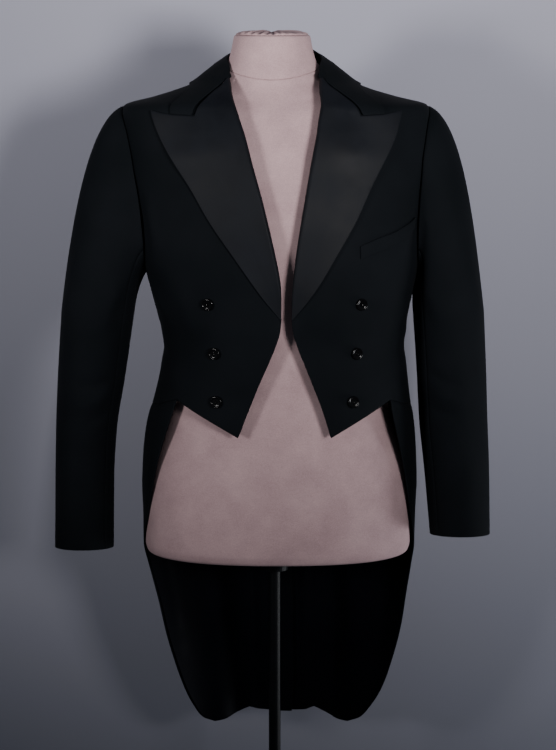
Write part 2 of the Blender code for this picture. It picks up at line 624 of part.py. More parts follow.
def build_collar(wool):
    """Build the collar: a stand inside the neck, its fold, and the fall over the shoulders."""
    steps, fall_rows = COLLAR_STEPS, FALL_ROWS
    fold, seam = trace(COLLAR_FOLD, steps), trace(COLLAR_SEAM, steps)
    edge = trace(COLLAR_EDGE, steps)
    end = trace(COLLAR_END, fall_rows)
    half = []
    for i in range(steps + 1):
        a, h = fold[i]
        roll = min(h - seam[i][1], ROLL_HEIGHT)
        out = END_OUT + (FALL_OUT - END_OUT) * min(i / steps / END_SHARE, 1.0)
        column = [surface(COAT_SECTIONS, *seam[i], -STAND_IN),
                  surface(COAT_SECTIONS, a, h - roll, -ROLL_IN),
                  surface(COAT_SECTIONS, a, h, -FOLD_IN),
                  surface(COAT_SECTIONS, a, h - ROLL_HEIGHT, ROLL_OUT)]
        for k in range(1, fall_rows + 1):
            t = k / fall_rows
            straight = (1 - t) * fold[i] + t * edge[i]
            pull = end[k] - ((1 - t) * fold[0] + t * edge[0])
            fa, fh = straight + pull * (1 - i / steps) ** 5
            column.append(surface(COAT_SECTIONS, fa, fh)
                          + normal(COAT_SECTIONS, fa, fh) * (CLOTH + LAYER + out))
        half.append(column)
    half = np.array(half)
    other = half * np.array([-1.0, 1.0, 1.0])
    columns = np.concatenate([half, other[::-1][1:]])
    points = columns.transpose(1, 0, 2)
    low = np.clip((SHIFT_TOP - points[..., 2:]) / SHIFT_DEPTH, 0, 1)
    points = points + np.array([COLLAR_SHIFT, 0.0, 0.0]) * low * (points[..., 1:2] < 0)
    wall("collar", points, grid_normals(points), -COLLAR_HALF, COLLAR_HALF, wool)


def sleeve_grid(sleeve):
    """Return a sleeve's rings of points: from the armhole seam, over the cap, to the cuff."""
    sign = sleeve.sign
    loop = armhole_loop(sign)
    table = sorted(sleeve.rings)
    top = table[-1]
    seat = [surface(COAT_SECTIONS, a, h) for a, h in loop]
    out = [normal(COAT_SECTIONS, a, h) for a, h in loop]
    middle = np.mean(seat, axis=0)
    rings = []
    count = len(loop)
    turns = []
    for k in range(count):
        rel = seat[k] - middle
        turns.append(math.atan2(rel[2], -rel[1]))
    for row in range(CAP_ROWS + 1):
        t = row / CAP_ROWS
        ring = []
        for k in range(count):
            rise = math.sin(turns[k])
            lean = math.cos(turns[k])
            foot = np.array([sign * (top.middle_x + top.half_width * rise),
                             top.middle_y - top.half_depth * lean, top.height])
            away = np.array([sign, 0.0, -HEAD_FALL - HEAD_TUCK * max(-rise, 0.0)])
            away /= np.linalg.norm(away)
            below = 0.5 - 0.5 * rise
            start = seat[k] + out[k] * CLOTH / 2 + away * (HEAD_GAP + HEAD_FULL * below)
            span = np.linalg.norm(foot - start)
            first = away * span * HEAD_START
            last = np.array([sign * HEAD_LEAN, 0.0, -1.0]) * span * HEAD_END
            b = (1 - t) ** 3, 3 * t * (1 - t) ** 2, 3 * t * t * (1 - t), t ** 3
            ring.append(b[0] * start + b[1] * (start + first) + b[2] * (foot - last)
                        + b[3] * foot)
        rings.append(ring)
    low = table[0].height
    for row in range(1, SLEEVE_ROWS + 1):
        height = top.height + (low - top.height) * row / SLEEVE_ROWS
        mx, my, hw, hd = hermite(table, height)
        ring = []
        for k in range(count):
            rise, lean = math.sin(turns[k]), math.cos(turns[k])
            slope = CUFF_RISE * lean * row / SLEEVE_ROWS
            ring.append(np.array([sign * (mx + hw * rise), my - hd * lean, height + slope]))
        rings.append(ring)
    return np.array(rings)


def build_sleeve(sleeve, wool):
    """Build a two-piece sleeve: a top sleeve outside and an under sleeve inside."""
    rings = sleeve_grid(sleeve)
    count = rings.shape[1]
    n = grid_normals(rings, closed=True)
    centre = rings.mean(axis=1, keepdims=True)
    flip = np.sign(np.sum(n * (rings - centre), axis=-1).mean())
    n = n * flip
    top = list(range(FRONT_SEAM, HIND_SEAM + 1))
    under = list(range(HIND_SEAM, count)) + list(range(0, FRONT_SEAM + 1))
    for name, columns in (("top", top), ("under", under)):
        points = inset(rings[:, columns], SEAM / 2, "ew")
        wall(f"{name}_sleeve_{sleeve.side}", points, n[:, columns], -CLOTH / 2, CLOTH / 2, wool)
    build_cuff_buttons(sleeve, rings[:, HIND_SEAM], n[:, HIND_SEAM])


def build_cuff_buttons(sleeve, seam, normals):
    """Build the small buttons above the cuff, just in front of the hind seam."""
    for k in range(HIND_BUTTONS):
        height = seam[-1][2] + FIRST_CUFF_BUTTON + CUFF_BUTTON_STEP * k
        row = int(np.argmin(np.abs(seam[:, 2] - height)))
        row = max(1, min(row, len(seam) - 1))
        other = row - 1 if seam[row][2] < height else min(row + 1, len(seam) - 1)
        span = seam[other][2] - seam[row][2]
        t = (height - seam[row][2]) / span if abs(span) > 1e-9 else 0.0
        spot = seam[row] * (1 - t) + seam[other] * t
        n = normals[row]
        build_button(f"cuff_button_{sleeve.side}_{k + 1}", spot + n * (CLOTH / 2 + LAYER), n,
                     CUFF_BUTTON, 8)


def build_button(name, centre, axis, radius, sides):
    """Build a round button with a raised rim and a sunk middle."""
    h = BUTTON_HEIGHT
    profile = [(0.62 * radius, 0.0), (radius, 0.35 * h), (radius, 0.75 * h), (0.88 * radius, h),
               (0.66 * radius, 0.80 * h)]
    turned(name, profile, sides, MATERIALS["button"], centre, axis)


def build_buttons():
    """Build six buttons on the foreparts and two at the waist behind."""
    number = 0
    for sign in (-1, 1):
        for mark in FRONT_BUTTONS:
            number += 1
            angle = sign * mark.angle
            n = normal(COAT_SECTIONS, angle, mark.height)
            centre = surface(COAT_SECTIONS, angle, mark.height) + n * (CLOTH + mark.shank)
            build_button(f"front_button_{number}", centre, n, FRONT_BUTTON, 14)
    for number, sign in enumerate((-1, 1), 1):
        angle = sign * BACK_BUTTON.angle
        n = normal(COAT_SECTIONS, angle, BACK_BUTTON.height)
        centre = surface(COAT_SECTIONS, angle, BACK_BUTTON.height) + n * (CLOTH + BACK_BUTTON.shank)
        build_button(f"back_button_{number}", centre, n, FRONT_BUTTON, 14)


def build_pocket(wool):
    """Build the breast pocket's welt on the wearer's left forepart."""
    columns = 6
    grid = coons(trace(POCKET_LOW, columns), trace(POCKET_HIGH, columns),
                 trace([POCKET_LOW[0], POCKET_HIGH[0]], 1),
                 trace([POCKET_LOW[-1], POCKET_HIGH[-1]], 1))
    points, normals = laid(grid, 1)
    wall("pocket_welt", points, normals, CLOTH + LAYER, 2 * CLOTH + LAYER, wool)


def build_form(cover):
    """Build the form: torso, neck with its own seam, and the gathered cap on top."""
    sides = FORM_SIDES
    facing = [0.5 + 0.5 * math.cos(2 * math.pi * k / sides) for k in range(sides)]

    def ring(height, lift=0.0):
        """A ring of the form, lowered towards the front near the neck as its seam is."""
        points = []
        power = 1.0
        if height > NECK_SEAM:
            share = (NECK_RIM - height) / (NECK_RIM - NECK_SEAM)
        else:
            share = max((height - DROP_START) / (NECK_SEAM - DROP_START), 0.0)
            share = share * share * (3 - 2 * share)
            power += DROP_FOCUS * (1.0 - share)
        for k in range(sides):
            point = surface(FORM_SECTIONS, 360.0 * k / sides, height)
            point[2] += lift - NECK_DROP * share * facing[k] ** power
            points.append(point)
        return points

    stack("form_torso", [ring(h) for h in TORSO_HEIGHTS] + [ring(NECK_SEAM)], cover)
    neck = [ring(NECK_SEAM, SEAM)] + [ring(h) for h in NECK_HEIGHTS] + [ring(NECK_RIM)]
    stack("form_neck", neck, cover)
    cap = [[surface(FORM_SECTIONS, 360.0 * k / sides, NECK_RIM, -spot.inward)
            + np.array([0.0, 0.0, spot.rise]) for k in range(sides)] for spot in CAP_RIM]
    stack("form_neck_cap", cap, cover)


def build_stand(metal):
    """Build the pole, the flange under the form, and a plain round base."""
    top = FORM_BOTTOM - SEAM
    boss = BASE_HEIGHT + BOSS_HEIGHT
    turned("stand_flange", [(FLANGE_NECK, -FLANGE_DROP), (1.1 * FLANGE_NECK, -0.4 * FLANGE_DROP),
                            (FLANGE_RADIUS, -FLANGE_HEIGHT), (FLANGE_RADIUS, 0.0)], 32, metal,
           (0.0, 0.0, top))
    turned("stand_pole", [(POLE_RADIUS, boss + SEAM), (POLE_RADIUS, top - FLANGE_DROP - SEAM)],
           24, metal)
    turned("stand_base", [(BASE_RADIUS, 0.0), (BASE_RADIUS, 0.4 * BASE_HEIGHT),
                          (0.97 * BASE_RADIUS, 0.7 * BASE_HEIGHT), (0.3 * BASE_RADIUS, BASE_HEIGHT),
                          (BOSS_RADIUS, 1.1 * BASE_HEIGHT), (0.8 * BOSS_RADIUS, boss)], 48, metal)


def clear_scene():
    """Remove the objects that are open."""
    for item in list(bpy.data.objects):
        bpy.data.objects.remove(item, do_unlink=True)


clear_scene()
MATERIALS = {
    "wool": finish("black_wool", (0.0045, 0.0050, 0.0060), 0.85, sheen=0.15),
    "satin": finish("black_satin", (0.0080, 0.0090, 0.0110), 0.38),
    "lining": finish("black_lining", (0.0030, 0.0030, 0.0036), 0.45),
    "button": finish("black_button", (0.0060, 0.0060, 0.0070), 0.18, coat=0.5),
    "cover": finish("form_jersey", (0.430, 0.335, 0.345), 0.9),
    "metal": finish("black_enamel", (0.0060, 0.0060, 0.0065), 0.35, metallic=0.4),
}

for SIDE, SIGN in (("right", -1), ("left", 1)):
    build_front(SIDE, SIGN, MATERIALS["wool"])
    build_side_body(SIDE, SIGN, MATERIALS["wool"])
    build_back(SIDE, SIGN, MATERIALS["wool"])
    build_skirt(SIDE, SIGN, MATERIALS["wool"], MATERIALS["lining"])
    build_tail_lining(SIDE, SIGN, MATERIALS["lining"])
    build_lapel(SIDE, SIGN, MATERIALS["satin"])
for SLEEVE in SLEEVES:
    build_sleeve(SLEEVE, MATERIALS["wool"])
build_collar(MATERIALS["wool"])
build_pocket(MATERIALS["wool"])
build_buttons()
build_form(MATERIALS["cover"])
build_stand(MATERIALS["metal"])
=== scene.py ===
"""A man's full-dress tailcoat on a limbless dress form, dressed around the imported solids.

Every cut piece of cloth is rebuilt as a fine shell on the same surface as its solid, with the
creases, seams, rolled edges and stitches that cloth has. The coat faces -Y and its wearer's
left is +X. Sizes are in metres and angles in degrees: 0 is the centre front, 180 the back.
"""

import logging
import math
from dataclasses import dataclass, field
from enum import Enum
from typing import Callable, NamedTuple, Sequence

import bmesh
import bpy
import numpy as np
from mathutils import Matrix, Vector


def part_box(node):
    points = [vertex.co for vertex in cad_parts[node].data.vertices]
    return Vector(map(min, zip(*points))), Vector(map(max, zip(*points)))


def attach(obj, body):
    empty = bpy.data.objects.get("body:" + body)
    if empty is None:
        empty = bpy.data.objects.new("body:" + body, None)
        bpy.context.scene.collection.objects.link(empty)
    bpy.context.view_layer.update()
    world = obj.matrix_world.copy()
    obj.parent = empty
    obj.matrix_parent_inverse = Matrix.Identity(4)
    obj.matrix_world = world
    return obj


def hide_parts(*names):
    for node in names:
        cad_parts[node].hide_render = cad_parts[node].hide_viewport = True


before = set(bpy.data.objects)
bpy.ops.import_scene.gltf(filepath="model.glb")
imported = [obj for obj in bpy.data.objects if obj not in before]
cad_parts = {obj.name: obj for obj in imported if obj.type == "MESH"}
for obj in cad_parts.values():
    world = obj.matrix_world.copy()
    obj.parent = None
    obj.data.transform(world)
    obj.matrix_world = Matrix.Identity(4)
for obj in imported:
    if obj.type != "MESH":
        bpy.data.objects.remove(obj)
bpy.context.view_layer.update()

Array = np.ndarray
DEGREES = np.linspace(0.0, 180.0, 181)
LOG = logging.getLogger("tailcoat")
TINY = 1e-12

# Thicknesses of the cloths, the gap at a seam and the gap under a layer, in metres
CLOTH = 0.0020
SATIN = 0.0016
LINING = 0.0010
SEAM = 0.0003
LAYER = 0.0006

# Steps of the cut edges, as in the solids, and how much finer the cloth is divided here
SIDE_ROWS = 7
ARMHOLE_ROWS = 8
ARMPIT_STEPS = 4
NECK_STEPS = 3
SHOULDER_STEPS = 5
HEM_STEPS = 5
WAIST_STEPS = 4
TAIL_ROWS = 14
TAIL_CROWD = 1.3
DETAIL = 8

# Metres round the body to a degree, and the steps over which a direction is measured
DEGREE_LENGTH = 0.0028
ANGLE_STEP = 0.6
HEIGHT_STEP = 0.0015

# How far a crease reaches, in widths, and the share of it that fades at each end
CREASE_MARGIN = 3.0
CREASE_FADE = 0.4

# What a cut's size is rounded up by, and the least share of its rectangle that it fills
HALF_MILLIMETRE = 0.0005
LEAST_FILL = 0.3

# The form's neck: its seam, its rim, and how the seam drops towards the front
NECK_SEAM = 1.527
NECK_RIM = 1.5795
NECK_DROP = 0.016
DROP_START = 1.450
DROP_FOCUS = 4.0


class Side(Enum):
    """The wearer's side of a piece, and the sign of its angles."""

    RIGHT = -1
    LEFT = 1

    @property
    def word(self) -> str:
        """The side as it stands in the names of nodes."""
        return self.name.lower()


class Hold(Enum):
    DRAPED = "draped"
    HUNG = "hung"
    FOLDED = "folded"
    STRETCHED = "stretched"


# height, half width, front depth, back depth, shift, front shift, power
COAT_SECTIONS = (
    (0.500, 0.1790, 0.110, 0.133, 0.009, 0.000, 2.2),
    (0.600, 0.1840, 0.110, 0.135, 0.013, 0.000, 2.2),
    (0.700, 0.1900, 0.115, 0.137, 0.012, 0.000, 2.2),
    (0.770, 0.1960, 0.118, 0.139, 0.009, 0.001, 2.2),
    (0.838, 0.1990, 0.122, 0.140, 0.0065, 0.003, 2.2),
    (0.900, 0.1995, 0.125, 0.138, 0.007, 0.005, 2.2),
    (0.964, 0.1975, 0.128, 0.132, 0.0075, 0.007, 2.2),
    (1.007, 0.1940, 0.130, 0.124, 0.0085, 0.007, 2.2),
    (1.047, 0.1870, 0.1315, 0.113, 0.0105, 0.006, 2.2),
    (1.100, 0.1780, 0.1315, 0.104, 0.0135, 0.003, 2.2),
    (1.142, 0.1738, 0.133, 0.104, 0.0140, 0.003, 2.2),
    (1.175, 0.1803, 0.136, 0.109, 0.0120, 0.005, 2.2),
    (1.210, 0.1885, 0.1375, 0.116, 0.0110, 0.006, 2.2),
    (1.245, 0.1965, 0.138, 0.122, 0.0100, 0.007, 2.2),
    (1.300, 0.2050, 0.137, 0.127, 0.0080, 0.007, 2.2),
    (1.357, 0.2140, 0.132, 0.128, 0.0060, 0.007, 2.2),
    (1.400, 0.2200, 0.125, 0.124, 0.0040, 0.007, 2.2),
    (1.440, 0.2215, 0.115, 0.116, 0.0030, 0.007, 2.2),
    (1.464, 0.2210, 0.106, 0.107, 0.0020, 0.006, 2.2),
    (1.477, 0.2180, 0.100, 0.101, 0.0020, 0.005, 2.2),
    (1.490, 0.1730, 0.092, 0.095, 0.0010, 0.004, 2.15),
    (1.500, 0.1400, 0.084, 0.090, 0.0000, 0.003, 2.1),
    (1.510, 0.1150, 0.075, 0.086, 0.0000, 0.002, 2.0),
    (1.521, 0.0990, 0.066, 0.082, 0.0000, 0.001, 2.0),
    (1.533, 0.0835, 0.058, 0.079, 0.0000, 0.000, 2.0),
    (1.545, 0.0724, 0.052, 0.0765, 0.0000, 0.000, 2.0),
    (1.556, 0.0668, 0.048, 0.0750, -0.001, 0.000, 2.0),
    (1.570, 0.0635, 0.045, 0.0740, -0.002, 0.000, 2.0),
)
FORM_SECTIONS = (
    (0.822, 0.1880, 0.108, 0.116, 0.0046, 0.0, 2.3),
    (0.826, 0.1930, 0.113, 0.121, 0.0046, 0.0, 2.3),
    (0.838, 0.1958, 0.117, 0.124, 0.0046, 0.0, 2.3),
    (0.890, 0.1952, 0.117, 0.127, 0.0048, 0.0, 2.3),
    (0.950, 0.1885, 0.115, 0.122, 0.0050, 0.0, 2.25),
    (1.020, 0.1690, 0.112, 0.106, 0.0040, 0.0, 2.2),
    (1.090, 0.1540, 0.111, 0.094, 0.0040, 0.0, 2.2),
    (1.150, 0.1530, 0.113, 0.094, 0.0040, 0.0, 2.2),
    (1.220, 0.1640, 0.119, 0.104, 0.0040, 0.0, 2.2),
    (1.300, 0.1770, 0.121, 0.114, 0.0030, 0.0, 2.2),
    (1.370, 0.1870, 0.115, 0.118, 0.0020, 0.0, 2.2),
    (1.420, 0.1920, 0.1035, 0.112, 0.0010, 0.0, 2.2),
    (1.450, 0.1925, 0.0945, 0.104, 0.0000, 0.0, 2.2),
    (1.468, 0.1900, 0.088, 0.098, 0.0000, 0.0, 2.2),
    (1.480, 0.1830, 0.0835, 0.089, 0.0000, 0.0, 2.0),
    (1.4885, 0.1690, 0.0798, 0.082, 0.0005, 0.0, 1.85),
    (1.4985, 0.1390, 0.0757, 0.074, 0.0000, 0.0, 1.75),
    (1.508, 0.1140, 0.0718, 0.070, -0.001, 0.0, 1.85),
    (1.516, 0.0930, 0.0682, 0.067, -0.002, 0.0, 1.95),
    (1.527, 0.0765, 0.0640, 0.065, -0.003, 0.0, 2.0),
    (1.540, 0.0665, 0.0612, 0.0615, -0.0035, 0.0, 2.0),
    (1.556, 0.0600, 0.0587, 0.059, -0.0035, 0.0, 2.0),
    (1.5795, 0.0545, 0.056, 0.056, -0.0035, 0.0, 2.0),
)

# Cloth edges: degrees round the body from the centre front, and height in metres
FRONT_EDGE = [(27.8, 1.0135), (21.5, 1.058), (15.0, 1.098), (9.6, 1.128), (5.8, 1.151),
              (3.8, 1.167), (3.0, 1.185), (3.5, 1.207), (5.3, 1.241), (8.2, 1.284),
              (12.6, 1.336), (19.4, 1.398), (26.5, 1.447), (32.5, 1.476), (40.0, 1.498),
              (50.0, 1.511), (61.0, 1.5155)]
FRONT_HEM = [(27.8, 1.0135), (45.0, 1.0385), (62.0, 1.062)]
WAIST_FRONT = [(62.0, 1.062), (80.0, 1.047), (97.0, 1.042)]
WAIST_BACK = [(97.0, 1.042), (130.0, 1.052), (163.0, 1.068)]
SIDE_SEAM = [(97.0, 1.042), (95.5, 1.110), (95.5, 1.170), (97.0, 1.240)]
ARMHOLE_FRONT = [(97.0, 1.240), (84.0, 1.248), (76.5, 1.288), (74.5, 1.340),
                 (75.5, 1.392), (79.5, 1.438), (84.5, 1.464), (90.0, 1.477)]
ARMHOLE_LOW = [(97.0, 1.240), (108.0, 1.257), (116.5, 1.310)]
ARMHOLE_BACK = [(116.5, 1.310), (117.5, 1.370), (112.0, 1.425), (101.0, 1.462), (90.0, 1.477)]
BACK_SEAM = [(163.0, 1.068), (158.5, 1.130), (147.0, 1.210), (131.0, 1.275), (116.5, 1.310)]
SHOULDER_SEAM = [(90.0, 1.528), (90.0, 1.508), (90.0, 1.495), (90.0, 1.487), (90.0, 1.477)]
NECK_FRONT = [(61.0, 1.5155), (76.0, 1.5235), (90.0, 1.528)]
NECK_BACK = [(180.0, 1.534), (135.0, 1.533), (90.0, 1.528)]
BACK_CENTRE = [(180.0, 1.068), (180.0, 1.534)]
BACK_WAIST = [(180.0, 1.068), (163.0, 1.068)]
TAIL_CENTRE = [(180.0, 0.531), (180.0, 1.068)]
SKIRT_EDGE = [(137.5, 0.5205), (131.0, 0.5285), (125.5, 0.548), (119.3, 0.580),
              (112.3, 0.635), (106.5, 0.690), (102.0, 0.755), (95.5, 0.805), (86.0, 0.840),
              (79.5, 0.872), (75.3, 0.908), (72.0, 0.948), (68.5, 0.985), (65.0, 1.022),
              (62.0, 1.062)]
SKIRT_HEM = [(137.5, 0.5205), (144.0, 0.5225), (151.0, 0.529), (158.8, 0.5385)]
TAIL_SEAM = [(158.8, 0.5385), (160.0, 0.780), (163.0, 1.068)]
TAIL_HEM = [(158.8, 0.5385), (166.0, 0.533), (173.0, 0.531), (180.0, 0.531)]
ROLL_LINE = [(3.0, 1.185), (3.5, 1.207), (5.3, 1.241), (8.2, 1.284), (12.6, 1.336),
             (19.4, 1.398), (26.5, 1.447), (32.5, 1.476), (40.0, 1.499), (51.0, 1.516)]
LAPEL_EDGE = [(3.5, 1.186), (15.0, 1.222), (30.2, 1.282), (40.3, 1.326), (48.3, 1.368),
              (55.6, 1.403), (63.0, 1.438), (69.2, 1.4735)]
LAPEL_TOP = [(51.0, 1.5165), (51.4, 1.492), (51.3, 1.4675), (60.0, 1.4685), (69.2, 1.4735)]
BREAK_LINE = [(3.0, 1.185), (3.5, 1.186)]
COLLAR_FOLD = [(52.0, 1.519), (58.0, 1.529), (68.0, 1.538), (84.0, 1.546), (105.0, 1.553),
               (135.0, 1.560), (180.0, 1.563)]
COLLAR_SEAM = [(56.0, 1.522), (62.0, 1.527), (70.0, 1.531), (84.0, 1.532), (105.0, 1.534),
               (135.0, 1.536), (180.0, 1.537)]
COLLAR_EDGE = [(60.8, 1.4708), (62.4, 1.481), (67.0, 1.494), (74.0, 1.503), (84.0, 1.5065),
               (95.0, 1.5075), (115.0, 1.5075), (140.0, 1.507), (180.0, 1.507)]
COLLAR_END = [(51.6, 1.517), (51.8, 1.494), (51.5, 1.4688), (60.8, 1.4708)]
POCKET_LOW = [(41.5, 1.270), (51.0, 1.279), (61.0, 1.289), (71.0, 1.308)]
POCKET_HIGH = [(41.5, 1.2885), (51.0, 1.2985), (61.0, 1.3075), (71.0, 1.3240)]


class Crease(NamedTuple):
    """A soft ridge or trough of the cloth along marks, in metres of width and depth."""

    sign: int
    marks: tuple
    width: float
    depth: float
    open_start: bool = False
    open_end: bool = False


PathOf = Callable[[Crease, int], Array]

BODY_CREASES = (
    Crease(1, ((63.5, 1.088), (65.5, 1.068), (66.5, 1.046)), 0.0045, -0.0017, False, True),
    Crease(1, ((58.5, 1.092), (60.5, 1.070), (61.0, 1.056)), 0.0070, 0.0012, False, True),
    Crease(1, ((64.0, 1.146), (80.0, 1.154), (99.0, 1.150)), 0.0110, 0.0020),
    Crease(1, ((60.0, 1.122), (78.0, 1.128), (96.0, 1.121)), 0.0090, -0.0015),
    Crease(1, ((80.5, 1.232), (77.0, 1.196), (70.0, 1.160)), 0.0110, 0.0022),
    Crease(1, ((69.5, 1.372), (67.5, 1.320), (69.0, 1.262)), 0.0130, 0.0024),
    Crease(1, ((74.0, 1.330), (72.5, 1.290), (76.0, 1.252)), 0.0080, -0.0018),
    Crease(1, ((30.0, 1.180), (38.0, 1.150), (40.0, 1.115)), 0.0140, 0.0010),
    Crease(1, ((18.0, 1.120), (28.0, 1.090), (33.0, 1.055)), 0.0120, 0.0009),
    Crease(-1, ((66.0, 1.140), (82.0, 1.147), (98.0, 1.156)), 0.0120, 0.0021),
    Crease(-1, ((62.0, 1.118), (80.0, 1.121), (97.0, 1.128)), 0.0085, -0.0014),
    Crease(-1, ((79.0, 1.236), (75.0, 1.205), (68.0, 1.170)), 0.0120, 0.0021),
    Crease(-1, ((70.5, 1.380), (68.5, 1.330), (68.0, 1.270)), 0.0120, 0.0022),
    Crease(-1, ((74.0, 1.345), (73.0, 1.300), (75.5, 1.258)), 0.0085, -0.0019),
    Crease(-1, ((20.0, 1.115), (30.0, 1.080), (36.0, 1.046)), 0.0130, 0.0010),
    Crease(-1, ((52.0, 1.230), (55.0, 1.190), (54.0, 1.150)), 0.0150, 0.0010),
    Crease(1, ((103.0, 1.236), (106.0, 1.190), (112.0, 1.140)), 0.0110, 0.0024),
    Crease(-1, ((104.0, 1.238), (108.0, 1.195), (115.0, 1.150)), 0.0105, 0.0022),
    Crease(1, ((152.0, 1.128), (134.0, 1.138), (116.0, 1.131)), 0.0100, 0.0019),
    Crease(-1, ((153.0, 1.120), (132.0, 1.129), (112.0, 1.126)), 0.0105, 0.0021),
    Crease(1, ((157.0, 1.104), (140.0, 1.108), (122.0, 1.103)), 0.0080, -0.0015),
    Crease(-1, ((158.0, 1.099), (141.0, 1.101), (126.0, 1.097)), 0.0085, -0.0014),
    Crease(1, ((118.0, 1.345), (125.0, 1.300), (132.0, 1.240)), 0.0130, 0.0026),
    Crease(-1, ((118.5, 1.350), (127.0, 1.310), (136.0, 1.250)), 0.0125, 0.0027),
    Crease(1, ((121.0, 1.372), (131.0, 1.335), (139.0, 1.290)), 0.0100, -0.0020),
    Crease(-1, ((121.5, 1.380), (130.0, 1.340), (140.0, 1.300)), 0.0100, -0.0018),
    Crease(1, ((150.0, 1.492), (152.0, 1.455), (151.0, 1.410)), 0.0150, 0.0014),
    Crease(-1, ((152.0, 1.496), (155.0, 1.450), (153.0, 1.400)), 0.0150, 0.0015),
    Crease(1, ((84.0, 1.030), (86.0, 0.960), (90.0, 0.880)), 0.0150, 0.0022, True),
    Crease(-1, ((86.0, 1.030), (89.0, 0.950), (91.0, 0.870)), 0.0150, 0.0023, True),
    Crease(1, ((112.0, 1.044), (114.0, 0.930), (120.0, 0.700), (126.0, 0.560)), 0.0200, 0.0050,
           True),
    Crease(-1, ((110.0, 1.044), (113.0, 0.920), (118.0, 0.720), (123.0, 0.570)), 0.0210, 0.0048,
           True),
    Crease(1, ((133.0, 1.040), (136.0, 0.880), (140.0, 0.700), (141.0, 0.530)), 0.0180, -0.0042,
           False, True),
    Crease(-1, ((134.0, 1.040), (137.0, 0.870), (139.0, 0.690), (141.5, 0.530)), 0.0190, -0.0044,
           False, True),
    Crease(1, ((149.0, 0.900), (150.0, 0.740), (150.0, 0.535)), 0.0150, 0.0040, False, True),
    Crease(-1, ((148.0, 0.910), (150.0, 0.750), (151.0, 0.535)), 0.0160, 0.0038, False, True),
    Crease(1, ((163.5, 0.860), (165.0, 0.720), (164.5, 0.540)), 0.0090, -0.0040, False, True),
    Crease(-1, ((161.5, 0.850), (160.0, 0.720), (159.0, 0.545)), 0.0100, -0.0034, False, True),
    Crease(1, ((171.0, 0.900), (172.0, 0.740), (172.5, 0.532)), 0.0120, 0.0030, False, True),
    Crease(-1, ((171.0, 0.930), (170.0, 0.740), (170.5, 0.532)), 0.0130, 0.0034, False, True),
)

LAPEL_CREASES = (
    Crease(1, ((52.0, 1.436), (46.0, 1.418), (37.0, 1.408)), 0.0130, 0.0007),
    Crease(1, ((50.0, 1.412), (44.0, 1.396), (34.0, 1.390)), 0.0110, -0.0006),
    Crease(1, ((44.0, 1.378), (38.0, 1.366), (29.0, 1.366)), 0.0140, 0.0005),
    Crease(1, ((57.5, 1.377), (52.0, 1.368), (46.0, 1.366)), 0.0050, -0.0020, True),
    Crease(1, ((56.0, 1.362), (51.0, 1.353), (45.0, 1.352)), 0.0048, 0.0018, True),
    Crease(1, ((53.5, 1.346), (48.0, 1.339), (43.0, 1.339)), 0.0050, -0.0018, True),
    Crease(-1, ((64.0, 1.404), (44.0, 1.416), (22.0, 1.448)), 0.0240, 0.0028, True),
    Crease(1, ((64.0, 1.408), (46.0, 1.414), (22.0, 1.442)), 0.0240, 0.0022, True),
    Crease(-1, ((36.0, 1.330), (30.0, 1.330), (24.0, 1.340)), 0.0120, -0.0005),
    Crease(-1, ((24.0, 1.288), (18.0, 1.292), (12.0, 1.304)), 0.0130, 0.0004),
)


class Ring(NamedTuple):
    """A ring of a sleeve below the armhole: its middle and its half sizes."""

    height: float
    middle_x: float
    middle_y: float
    half_width: float
    half_depth: float


SLEEVE_RINGS = {
    Side.RIGHT: (Ring(1.180, 0.2585, 0.006, 0.0525, 0.0700),
                 Ring(1.080, 0.2695, 0.004, 0.0483, 0.0640),
                 Ring(1.005, 0.2770, -0.004, 0.0437, 0.0580),
                 Ring(0.934, 0.2795, -0.016, 0.0422, 0.0525),
                 Ring(0.834, 0.2800, -0.034, 0.0422, 0.0470)),
    Side.LEFT: (Ring(1.180, 0.2545, 0.006, 0.0510, 0.0700),
                Ring(1.090, 0.2600, 0.004, 0.0500, 0.0645),
                Ring(1.020, 0.2630, -0.003, 0.0493, 0.0590),
                Ring(0.948, 0.2680, -0.014, 0.0468, 0.0535),
                Ring(0.853, 0.2727, -0.031, 0.0430, 0.0470)),
}

